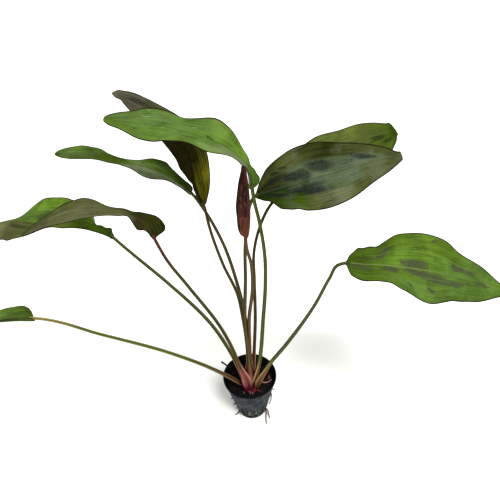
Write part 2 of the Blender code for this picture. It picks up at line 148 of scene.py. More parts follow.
class Paint:
    """A material and the one way of adding nodes to it."""

    def __init__(self, name: str) -> None:
        """Start a material with an empty node tree."""
        self.material = bpy.data.materials.new(name)
        self.material.use_nodes = True
        self.tree = self.material.node_tree
        self.tree.nodes.clear()

    def node(self, kind: str, settings: dict[str, Any], inputs: dict[Any, Any]) -> bpy.types.Node:
        """Add a node.

        Args:
            kind: The node's type.
            settings: Its settings, and a ramp's stops under the name stops.
            inputs: The values or links of its sockets, by name or number.

        Returns:
            The new node.
        """
        made = self.tree.nodes.new(kind)
        for key, value in settings.items():
            if key == "stops":
                self._set_stops(made.color_ramp, value)
            else:
                setattr(made, key, value)
        for key, value in inputs.items():
            socket = made.inputs[key]
            if isinstance(value, Signal):
                self.tree.links.new(value.socket, socket)
            elif isinstance(value, bpy.types.NodeSocket):
                self.tree.links.new(value, socket)
            elif isinstance(value, tuple) and socket.type == "RGBA":
                socket.default_value = (*value, 1.0)
            else:
                socket.default_value = value
        return made

    @staticmethod
    def _set_stops(ramp: bpy.types.ColorRamp, stops: Tones) -> None:
        """Give a colour ramp its stops."""
        while len(ramp.elements) < len(stops):
            ramp.elements.new(1.0)
        while len(ramp.elements) > len(stops):
            ramp.elements.remove(ramp.elements[-1])
        for element, (position, colour) in zip(ramp.elements, stops):
            element.position = position
            element.color = (*colour, 1.0)

    def attribute(self, name: str) -> Signal:
        """A value that the mesh carries at its points."""
        made = self.node("ShaderNodeAttribute", {"attribute_name": name}, {})
        return Signal(self, made.outputs["Fac"])

    def place(self) -> bpy.types.NodeSocket:
        """The place on the object, in metres."""
        return self.node("ShaderNodeTexCoord", {}, {}).outputs["Object"]

    def axes(self, vector: bpy.types.NodeSocket) -> list[Signal]:
        """A vector's three values."""
        split = self.node("ShaderNodeSeparateXYZ", {}, {0: vector})
        return [Signal(self, output) for output in split.outputs]

    def height(self) -> Signal:
        """The height above the table."""
        return self.axes(self.place())[2]

    def vector(self, x: Number = 0.0, y: Number = 0.0, z: Number = 0.0) -> bpy.types.NodeSocket:
        """A vector of three values."""
        return self.node("ShaderNodeCombineXYZ", {}, {0: x, 1: y, 2: z}).outputs[0]

    def distance(self, vector: bpy.types.NodeSocket) -> Signal:
        """The length of a vector."""
        made = self.node("ShaderNodeVectorMath", {"operation": "LENGTH"}, {0: vector})
        return Signal(self, made.outputs["Value"])

    def noise(self, scale: float, detail: float = 2.0,
              at: bpy.types.NodeSocket | None = None) -> Signal:
        """Soft noise between 0 and 1.

        Args:
            scale: How many lumps there are in a metre, or in one of the vector's own units.
            detail: How many finer layers it has.
            at: The vector that it is read at, or None for the place on the object.

        Returns:
            The noise.
        """
        where = at or self.place()
        made = self.node("ShaderNodeTexNoise", {}, {"Vector": where, "Scale": scale, "Detail": detail})
        return Signal(self, made.outputs[0])

    def specks(self, scale: float, share: float, size: float) -> Signal:
        """Scattered round specks.

        Args:
            scale: How many cells there are in a metre.
            share: The share of cells that hold a speck.
            size: A speck's radius, as a share of its cell.

        Returns:
            1 on a speck and 0 elsewhere.
        """
        made = self.node("ShaderNodeTexVoronoi", {}, {"Vector": self.place(), "Scale": scale})
        spot = Signal(self, made.outputs["Distance"]).eased(size, size * 0.6)
        split = self.node("ShaderNodeSeparateColor", {}, {0: made.outputs["Color"]})
        return spot * Signal(self, split.outputs[0]).eased(1 - share, 1 - share * 0.9)

    def ramp(self, value: Signal, stops: Tones) -> bpy.types.NodeSocket:
        """A colour that follows a value."""
        return self.node("ShaderNodeValToRGB", {"stops": stops}, {0: value}).outputs[0]

    def mix(self, first: Paintable, second: Paintable, share: Number) -> bpy.types.NodeSocket:
        """A mix of two colours, by the second one's share."""
        made = self.node("ShaderNodeMix", {"data_type": "RGBA"}, {0: share, 6: first, 7: second})
        return made.outputs[2]

    def scaled(self, colour: Paintable, factor: Signal) -> bpy.types.NodeSocket:
        """A colour times a factor."""
        inputs = {"Vector": colour, "Scale": factor}
        return self.node("ShaderNodeVectorMath", {"operation": "SCALE"}, inputs).outputs[0]

    def bump(self, height: Signal, depth: float) -> bpy.types.NodeSocket:
        """A normal that follows a height, whose full range is that deep."""
        made = self.node("ShaderNodeBump", {}, {"Height": height, "Distance": depth, "Strength": 1.0})
        return made.outputs[0]

    def finish(self, through: Colour | None = None, through_share: float = 0.0,
               **inputs: Any) -> bpy.types.Material:
        """End the material in one surface shader.

        Args:
            through: The colour of light that shines through, or None.
            through_share: The share of that light.
            inputs: The Principled sockets, with underscores in place of spaces.

        Returns:
            The material.
        """
        sockets = {key.replace("_", " "): value for key, value in inputs.items()}
        shader = self.node("ShaderNodeBsdfPrincipled", {}, sockets).outputs[0]
        if through:
            glow = self.node("ShaderNodeBsdfTranslucent", {}, {"Color": through}).outputs[0]
            shader = self.node("ShaderNodeMixShader", {}, {0: through_share, 1: shader, 2: glow}).outputs[0]
        self.node("ShaderNodeOutputMaterial", {}, {"Surface": shader})
        return self.material


class SmoothPath:
    """A smooth path through a route's points, measured by its chord length."""

    def __init__(self, points: Iterable[Vector]) -> None:
        """Fit the path through its points."""
        self.points = list(points)
        steps = [b - a for a, b in zip(self.points, self.points[1:])]
        self.lengths = [step.length for step in steps]
        self.starts = [0.0]
        for length in self.lengths:
            self.starts.append(self.starts[-1] + length)
        slopes = [step / length for step, length in zip(steps, self.lengths)]
        self.tangents = [Vector() for _ in self.points]
        for i in range(1, len(slopes)):
            weight = self.lengths[i] / (self.lengths[i - 1] + self.lengths[i])
            self.tangents[i] = slopes[i - 1] * weight + slopes[i] * (1 - weight)
        self.tangents[0] = slopes[0] * 1.5 - self.tangents[1] * 0.5
        self.tangents[-1] = slopes[-1] * 1.5 - self.tangents[-2] * 0.5

    @property
    def total(self) -> float:
        """The path's whole length."""
        return self.starts[-1]

    def at(self, distance: float) -> tuple[Vector, Vector]:
        """The place and direction at a distance along the path."""
        last = len(self.lengths) - 1
        i = next((k for k in range(last) if distance <= self.starts[k + 1]), last)
        length = self.lengths[i]
        f = (distance - self.starts[i]) / length
        a, b = self.points[i], self.points[i + 1]
        lead_in, lead_out = self.tangents[i] * length, self.tangents[i + 1] * length
        place = (a * (2 * f**3 - 3 * f**2 + 1) + lead_in * (f**3 - 2 * f**2 + f)
                 + b * (3 * f**2 - 2 * f**3) + lead_out * (f**3 - f**2))
        heading = ((b - a) * (6 * f - 6 * f**2) + lead_in * (3 * f**2 - 4 * f + 1)
                   + lead_out * (3 * f**2 - 2 * f))
        return place, heading.normalized()


def reading(stations: Sequence[float], rank: float) -> float:
    """A smooth reading from values set at even steps of rank 0 to 1."""
    last = len(stations) - 1
    if last == 0:
        return stations[0]
    x = min(max(rank, 0.0), 1.0) * last
    i = min(int(x), last - 1)
    f = x - i
    rises = [b - a for a, b in zip(stations, stations[1:])]

    def slope(k: int) -> float:
        """The curve's slope at a station."""
        if k == 0:
            return 1.5 * rises[0] - 0.5 * slope(1) if last > 1 else rises[0]
        if k == last:
            return 1.5 * rises[-1] - 0.5 * slope(last - 1) if last > 1 else rises[0]
        return 0.5 * (rises[k - 1] + rises[k])

    return (stations[i] * (2 * f**3 - 3 * f**2 + 1) + slope(i) * (f**3 - 2 * f**2 + f)
            + stations[i + 1] * (3 * f**2 - 2 * f**3) + slope(i + 1) * (f**3 - f**2))


def smooth_step(low: float, high: float, value: float) -> float:
    """A smooth step from 0 at low to 1 at high, which may be the smaller."""
    share = min(max((value - low) / (high - low), 0.0), 1.0)
    return share * share * (3 - 2 * share)


def put_in_scene(shape: bmesh.types.BMesh, name: str, materials: Sequence[bpy.types.Material],
                 slot: Slot, *nodes: str, closed: bool = True) -> bpy.types.Object:
    """Make a piece of a bmesh, and tie it to the frame.

    Args:
        shape: The bmesh, which is freed.
        name: The piece's name.
        materials: Its materials, in the order of its faces' numbers.
        slot: The record's slot for the piece; not used.
        nodes: The CAD nodes that it stands for.
        closed: Whether its surface is closed, so that its faces can be turned outwards here.

    Returns:
        The piece.
    """
    if closed:
        bmesh.ops.recalc_face_normals(shape, faces=shape.faces[:])
    mesh = bpy.data.meshes.new(name)
    shape.to_mesh(mesh)
    shape.free()
    mesh.shade_smooth()
    for material in materials:
        mesh.materials.append(material)
    piece = bpy.data.objects.new(name, mesh)
    bpy.context.scene.collection.objects.link(piece)
    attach(piece, BODY)
    if nodes:
        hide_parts(*nodes)
    LOG.info("%s: %d faces", name, len(mesh.polygons))
    return piece


def side_frame(heading: Vector, hint: Vector) -> tuple[Vector, Vector]:
    """Two directions across a heading: the one nearest a hint, and the one to its right."""
    out = (hint - heading * heading.dot(hint)).normalized()
    return out, heading.cross(out)


def spin_profile(shape: bmesh.types.BMesh, profile: Sequence[tuple[float, float]], steps: int) -> None:
    """Spin a profile into a full turn about the upright axis, and weld its poles.

    Args:
        shape: The bmesh that takes it.
        profile: The radius and height of each of its points.
        steps: How many faces it has round.
    """
    points = [shape.verts.new((radius, 0, height)) for radius, height in profile]
    edges = [shape.edges.new(pair) for pair in zip(points, points[1:])]
    bmesh.ops.spin(shape, geom=[*points, *edges], axis=(0, 0, 1), angle=FULL_TURN, steps=steps,
                   use_merge=True)
    bmesh.ops.remove_doubles(shape, verts=shape.verts[:], dist=WELD)


def add_tube(shape: bmesh.types.BMesh, along: int, around: int,
             surface: Callable[[float, float], tuple[Vector, dict[str, float]]]) -> None:
    """Wrap a grid into a closed tube.

    Args:
        shape: The bmesh that takes it.
        along: How many faces it has along.
        around: How many faces it has around.
        surface: Gives the point and its values at a share along and a share of a turn.
    """
    made = bmesh.ops.create_grid(shape, x_segments=around, y_segments=along, size=1)["verts"]
    for point in made:
        spot, values = surface(0.5 * (point.co.y + 1), 0.5 * (point.co.x + 1))
        point.co = spot
        for name, value in values.items():
            layer = shape.verts.layers.float.get(name)
            point[layer] = value
    bmesh.ops.remove_doubles(shape, verts=made, dist=WELD)
    kept = [point for point in made if point.is_valid]
    open_edges = [edge for point in kept for edge in point.link_edges if edge.is_boundary]
    bmesh.ops.holes_fill(shape, edges=list(set(open_edges)), sides=around)


@dataclass(frozen=True)
class Strand:
    """A tapering strand. Its route and its radius at its start are in millimetres.

    The end is the share of the radius that is left there; along and around count its faces.
    """

    route: Sequence[Place]
    radius: float
    end: float = 0.5
    along: int = 24
    around: int = 6

    def add_to(self, shape: bmesh.types.BMesh) -> None:
        """Add the strand to a bmesh."""
        path = SmoothPath(Vector(point) * MM for point in self.route)

        def surface(share: float, turn: float) -> tuple[Vector, dict[str, float]]:
            """A point of the strand's skin."""
            place, heading = path.at(path.total * share)
            hint = Vector((0, 0, 1)) if abs(heading.z) < 0.8 else Vector((1, 0, 0))
            out, right = side_frame(heading, hint)
            size = self.radius * MM * (1 - (1 - self.end) * share)
            angle = FULL_TURN * turn
            return place + out * (size * math.cos(angle)) + right * (size * math.sin(angle)), {}

        add_tube(shape, self.along, self.around, surface)


def put_strands(name: str, strands: Iterable[Strand], skin: bpy.types.Material, slot: Slot,
                *nodes: str) -> bpy.types.Object:
    """Make one piece of some strands.

    Args:
        name: The piece's name.
        strands: The strands.
        skin: Its material.
        slot: The record's slot for the piece.
        nodes: The CAD nodes that it stands for.

    Returns:
        The piece.
    """
    shape = bmesh.new()
    for strand in strands:
        strand.add_to(shape)
    return put_in_scene(shape, name, (skin,), slot, *nodes)


@dataclass(frozen=True)
class Blotch:
    """A dark mark on a blade.

    Its middle is a share along and across the blade, its half sizes are in millimetres and its
    turn is in degrees.
    """

    along: float
    across: float
    half_length: float
    half_width: float
    turn: float = 0.0
    soft: float = 0.15


@dataclass(frozen=True)
class Ruffle:
    """A rise or dip of a blade's edge, on one side (-1 left, 1 right), at a rank, in millimetres."""

    side: int
    at: float
    lift: float
    spread: float = 0.05


@dataclass(frozen=True)
class Lobe:
    """A bulge (or with a negative reach a notch) of a blade's edge, in millimetres, on one side."""

    side: int
    at: float
    reach: float
    spread: float = 0.03


@dataclass(frozen=True)
class BladeFinish:
    """The colours and gloss of one blade. Tones run from the joint to the tip.

    The outer tones lie beyond the main vein of each half, and are the inner ones where not given.
    The comb frays the blotches' ends along the cross-veins, by so many millimetres. Rounded
    blotches are ovals, the others are boxes. Flecks are pale.
    """

    left: Tones
    right: Tones
    left_outer: Tones | None = None
    right_outer: Tones | None = None
    under: Tones = ((0.0, (0.07, 0.1, 0.02)), (1.0, (0.08, 0.11, 0.025)))
    grain: float = 0.45
    patches: float = 0.5
    rungs: float = 0.2
    streak: Colour = (0.02, 0.03, 0.003)
    streak_share: float = 0.5
    blotch: Colour = (0.03, 0.022, 0.015)
    blotch_share: float = 0.9
    blotches: tuple[Blotch, ...] = ()
    vein: Colour = (0.11, 0.16, 0.05)
    vein_share: float = 0.3
    rib: Colour = (0.03, 0.05, 0.01)
    rib_share: float = 0.7
    margin: Colour = (0.012, 0.006, 0.004)
    margin_width: float = 0.8
    # Painted sheen: a pale film painted into the colour where a blade would catch the light, and its share.
    painted_sheen: Colour = (0.16, 0.2, 0.13)
    painted_sheen_share: float = 0.0
    through: Colour = (0.2, 0.45, 0.01)
    through_share: float = 0.08
    roughness: float = 0.6
    gloss: float = 0.02
    specks: float = 0.06
    comb: float = 3.0
    rounded: bool = False
    flecks: tuple[Blotch, ...] = ()

    def _marks(self, paint: Paint, blotches: Sequence[Blotch], spot: bpy.types.NodeSocket,
               length: float, width: float) -> Number:
        """The blotches, as 1 on a blotch and 0 elsewhere.

        Args:
            paint: The material.
            blotches: The blotches to mark.
            spot: The place on the blade, in millimetres along and across.
            length: The blade's length in millimetres.
            width: Its half width in millimetres.

        Returns:
            The marks.
        """
        marks: Number = 0.0
        for blotch in blotches:
            own = paint.node(
                "ShaderNodeMapping", {"vector_type": "TEXTURE"},
                {"Vector": spot, "Location": (blotch.along * length, blotch.across * width, 0.0),
                 "Rotation": (0.0, 0.0, math.radians(blotch.turn)),
                 "Scale": (blotch.half_length, blotch.half_width, 1.0)},
            ).outputs[0]
            if self.rounded:
                away = paint.distance(own)
            else:
                x, y, _ = paint.axes(own)
                away = abs(x).most(abs(y))
            marks = away.eased(1 + blotch.soft, 1 - blotch.soft).most(marks)
        return marks

    def _pattern(self, paint: Paint, length: float, width: float) -> tuple[Signal, Signal, Number, Number]:
        """The blade's patterns.

        Args:
            paint: The material.
            length: The blade's length in millimetres.
            width: Its half width in millimetres.

        Returns:
            The lines of the veins, the ladder of fine cross-veins, the blotches and the pale flecks.
        """
        across, along = paint.attribute("across"), paint.attribute("along")
        out = abs(across)
        drift = (paint.noise(70) - 0.5) * 0.05
        veins = abs(out + drift - 0.49).eased(0.03, 0.008)
        for place in (0.25, 0.74):
            veins = veins.most(abs(out + drift - place).eased(0.022, 0.006) * 0.6)
        veins = veins * out.eased(0.03, 0.12) * along.eased(0.95, 0.55)
        ladder = along * (length / 2.4) - out * (width / 2.6) + drift * 24
        rungs = ladder.wave().eased(0.3, 0.9) * paint.noise(200).eased(0.35, 0.55)
        comb = paint.noise(1.0, 1.0, paint.vector(ladder * 1.3)) - 0.5
        spot = paint.vector(along * length + (paint.noise(300, 3.0) - 0.5) * 4 + out * (width * 0.25),
                            across * width + comb * self.comb + (paint.noise(500, 2.0) - 0.5) * 1.5)
        marks = self._marks(paint, self.blotches, spot, length, width)
        return veins, rungs, marks, self._marks(paint, self.flecks, spot, length, width)

    def face(self, name: str, length: float, width: float) -> bpy.types.Material:
        """The material of the blade's upper face.

        Args:
            name: The material's name.
            length: The blade's length in millimetres.
            width: Its half width in millimetres.

        Returns:
            The material.
        """
        paint = Paint(name)
        veins, rungs, marks, flecks = self._pattern(paint, length, width)
        across, along = paint.attribute("across"), paint.attribute("along")
        out = abs(across)
        drifted = along + (paint.noise(28, 3.0) - 0.5) * 0.1
        outer_share = (out + (paint.noise(60, 3.0) - 0.5) * 0.2).eased(0.42, 0.58)
        sides = []
        for inner, outer in ((self.left, self.left_outer), (self.right, self.right_outer)):
            tone = paint.ramp(drifted, inner)
            sides.append(paint.mix(tone, paint.ramp(drifted, outer), outer_share) if outer else tone)
        colour = paint.mix(sides[0], sides[1], across.eased(-0.03, 0.03))
        grain = paint.noise(1.0, 4.0, paint.vector(across * 26, along * 5)).eased(0.36, 0.64)
        patches = paint.noise(55, 4.0).eased(0.36, 0.64)
        shade = (grain - 0.5) * self.grain + (patches - 0.5) * self.patches + (rungs - 0.4) * self.rungs
        colour = paint.scaled(colour, shade + 1.0)
        lines = paint.noise(1.0, 3.0, paint.vector(across * 11, along * 2, 7.0)).eased(0.5, 0.56)
        colour = paint.mix(colour, self.streak, lines * along.eased(0.34, 0.06) * self.streak_share)
        # Painted sheen: pale patches painted where the blade would catch the light, away from the joint.
        painted_sheen = paint.noise(70, 4.0).eased(0.45, 0.6) * along.eased(0.15, 0.32) * self.painted_sheen_share
        colour = paint.mix(colour, self.painted_sheen, painted_sheen)
        comb_share = 0.1 * self.comb
        worn = paint.noise(1100, 3.0).eased(0.4, 0.6) * 0.3 + rungs * comb_share + (0.75 - comb_share)
        colour = paint.mix(colour, self.blotch, marks * worn * self.blotch_share)
        colour = paint.mix(colour, self.vein, veins * self.vein_share)
        # A line along the midrib in the rib colour; on the top blade its dark line is painted shadow between
        # the two halves.
        rib = paint.attribute("rib").eased(0.6, 0.2) * along.eased(1.0, 0.3)
        colour = paint.mix(colour, self.rib, rib * self.rib_share)
        colour = paint.mix(colour, self.blotch, paint.specks(170, self.specks, 0.16) * 0.7)
        pale = paint.specks(230, self.specks * 0.4, 0.09).most(flecks)
        colour = paint.mix(colour, SPECK_WHITE, pale * 0.5)
        wide = self.margin_width
        colour = paint.mix(colour, self.margin, paint.attribute("edge").eased(wide * 1.5, wide * 0.6))
        height = rungs * 0.3 - veins * 0.8 + grain * 0.3 + paint.noise(420, 3.0) * 0.5
        return paint.finish(
            self.through, self.through_share, Base_Color=colour,
            Roughness=paint.noise(90, 3.0) * 0.2 + (self.roughness - 0.1),
            Specular_IOR_Level=self.gloss, Normal=paint.bump(height, 0.3 * MM),
        )

    def back(self, name: str, length: float, width: float) -> bpy.types.Material:
        """The material of the blade's underside, paler and duller, with raised veins.

        Args:
            name: The material's name.
            length: The blade's length in millimetres.
            width: Its half width in millimetres.

        Returns:
            The material.
        """
        paint = Paint(name)
        veins, rungs, marks, _ = self._pattern(paint, length, width)
        across, along = paint.attribute("across"), paint.attribute("along")
        tone = paint.ramp(along + (paint.noise(40, 3.0) - 0.5) * 0.1, self.under)
        grain = paint.noise(1.0, 4.0, paint.vector(across * 16, along * 4)).eased(0.38, 0.62)
        shade = (grain - 0.5) * (self.grain * 1.4) + (rungs - 0.4) * self.rungs + 1.0
        tone = paint.scaled(tone, shade)
        tone = paint.mix(tone, self.blotch, marks * 0.4)
        # Painted highlights: pale streaks painted along the underside.
        painted_sheen = paint.noise(1.0, 4.0, paint.vector(across * 5, along * 9, 3.0)).eased(0.52, 0.62)
        tone = paint.mix(tone, self.painted_sheen, painted_sheen * self.painted_sheen_share)
        tone = paint.mix(tone, self.vein, (veins * 0.5).most(paint.attribute("rib").eased(1.6, 0.8) * 0.5))
        tone = paint.mix(tone, self.margin, paint.attribute("edge").eased(0.9, 0.4))
        height = rungs * 0.3 + veins + paint.noise(380, 3.0) * 0.4
        return paint.finish(
            self.through, self.through_share, Base_Color=tone,
            Roughness=paint.noise(90, 3.0) * 0.14 + 0.5,
            Specular_IOR_Level=self.gloss, Normal=paint.bump(height, 0.25 * MM),
        )


@dataclass(frozen=True)
class StemFinish:
    """The colours of one stalk: its sheath's foot, sheath and shoulder, then low, middle and top.

    The sheath's sizes are heights along the stalk in millimetres, where each one fades in or out.
    """

    sheath: Colour
    low: Colour
    middle: Colour
    top: Colour
    foot: Colour = (0.12, 0.007, 0.02)
    shoulder: Colour | None = None
    # The pale of the sheath's margins, also used for painted highlights along the stalk.
    edge: Colour = (0.34, 0.2, 0.16)
    streak: Colour = (0.02, 0.02, 0.006)
    top_from: float = 0.93
    sheath_length: float = 50.0
    sheath_end: tuple[float, float] = (38.0, 55.0)
    sheath_side: tuple[float, float] = (48.0, 30.0)
    pale_end: tuple[float, float] = (60.0, 8.0)

    def material(self, name: str) -> bpy.types.Material:
        """The material, streaked along the stalk, with painted shade in its grooves and painted highlights
        along its sides.
        """
        paint = Paint(name)
        share, turn, reach = paint.attribute("share"), paint.attribute("turn"), paint.attribute("reach")
        climb = reach + (paint.noise(160) - 0.5) * 5
        sheath = paint.ramp(climb * (1 / self.sheath_length), (
            (0.0, self.foot), (0.1, self.foot), (0.26, self.sheath), (0.5, self.sheath),
            (0.72, self.shoulder or self.low), (1.0, self.low)))
        stalk = paint.ramp(share + (paint.noise(60) - 0.5) * 0.06, (
            (0.0, self.low), (0.2, self.low), (0.45, self.middle), (self.top_from - 0.12, self.middle),
            (self.top_from, self.top)))
        colour = paint.mix(sheath, stalk, reach.eased(*self.sheath_end))
        strands = paint.noise(1.0, 3.0, paint.vector(turn * 9, share * 14))
        colour = paint.mix(colour, self.streak, strands.eased(0.5, 0.72) * 0.5)
        # Pale streaks near the foot and pale sheath sides in the edge colour: partly the sheath's pale
        # margins and partly painted highlights.
        pale = paint.noise(1.0, 2.0, paint.vector(turn * 14, share * 9, 4.0)).eased(0.56, 0.72)
        colour = paint.mix(colour, self.edge, pale * reach.eased(*self.pale_end) * 0.45)
        side = abs(turn - 0.5).eased(0.16, 0.06) * reach.eased(*self.sheath_side) * reach.eased(3, 8)
        colour = paint.mix(colour, self.edge, side * 0.6)
        # Painted shade and light: darker in the flutes' grooves and lighter on their ridges; the same wave
        # also raises the bump.
        flute_relief_and_painted_shade = (turn * 2 + 0.25).wave()
        colour = paint.scaled(colour, flute_relief_and_painted_shade * 0.95 + 0.5)
        height = strands + flute_relief_and_painted_shade * 0.6
        return paint.finish(
            Base_Color=colour, Roughness=paint.noise(200) * 0.16 + 0.4,
            Specular_IOR_Level=0.06, Normal=paint.bump(height, 0.1 * MM),
        )


GRASS = (0.09, 0.165, 0.025)
LIME = (0.115, 0.21, 0.02)
FERN = (0.06, 0.11, 0.008)
# Deep green: partly the blades' own deep green and partly painted shade where a blade lies in shade.
DEEP_GREEN_AND_PAINTED_SHADE = (0.04, 0.07, 0.002)
MEADOW = (0.1, 0.13, 0.025)
# Pale green with a painted sheen, on halves tilted towards the light.
PALE_GREEN_AND_PAINTED_SHEEN = (0.16, 0.2, 0.09)
# Grey-green: green with a painted grey reflection of the light.
GREEN_WITH_PAINTED_SHEEN = (0.085, 0.115, 0.055)
KHAKI = (0.12, 0.125, 0.05)
DRAB = (0.07, 0.08, 0.022)
LODEN = (0.024, 0.029, 0.003)
PINE = (0.022, 0.042, 0.003)
BARK = (0.045, 0.04, 0.008)
# Near-black: the dark_back blade's own dark colour deepened by painted shade.
NEAR_BLACK_AND_PAINTED_SHADE = (0.009, 0.008, 0.001)
# Yellow near the dark_back blade's joint: partly its own colour and partly painted light shining through it.
MUSTARD = (0.12, 0.11, 0.006)
# Grey-brown of the dark_back tip: partly its own colour and partly a painted glare.
TAUPE = (0.085, 0.085, 0.05)
WINE = (0.03, 0.007, 0.004)
RUSSET = (0.12, 0.035, 0.008)
PINK = (0.24, 0.07, 0.06)
SALMON = (0.2, 0.085, 0.05)
RUST = (0.1, 0.04, 0.015)
BROWN = (0.075, 0.048, 0.012)
OLIVE = (0.075, 0.08, 0.014)
MOSS = (0.05, 0.07, 0.008)


@dataclass(frozen=True)
class LeafShape:
    """One leaf. Routes are in millimetres, angles in degrees.

    Widths and angles are read at even steps of the blade's rank, which crowds towards the joint
    and the tip.
    """

    name: str
    slot: Slot
    ring: float
    azimuth: float
    flare: float
    stem_route: tuple[Place, ...]
    rib_route: tuple[Place, ...]
    left_width: tuple[float, ...]
    right_width: tuple[float, ...]
    finish: BladeFinish
    stem_finish: StemFinish
    face: Place = (0.0, 0.0, 1.0)
    roll: tuple[float, ...] = (0.0,)
    left_fold: tuple[float, ...] = (0.0,)
    right_fold: tuple[float, ...] = (0.0,)
    left_curl: tuple[float, ...] = (14.0,)
    right_curl: tuple[float, ...] = (14.0,)
    ruffles: tuple[Ruffle, ...] = ()
    lobes: tuple[Lobe, ...] = ()
    ripple: float = 0.35
    ripples: float = 3.0
    phase: float = 0.0


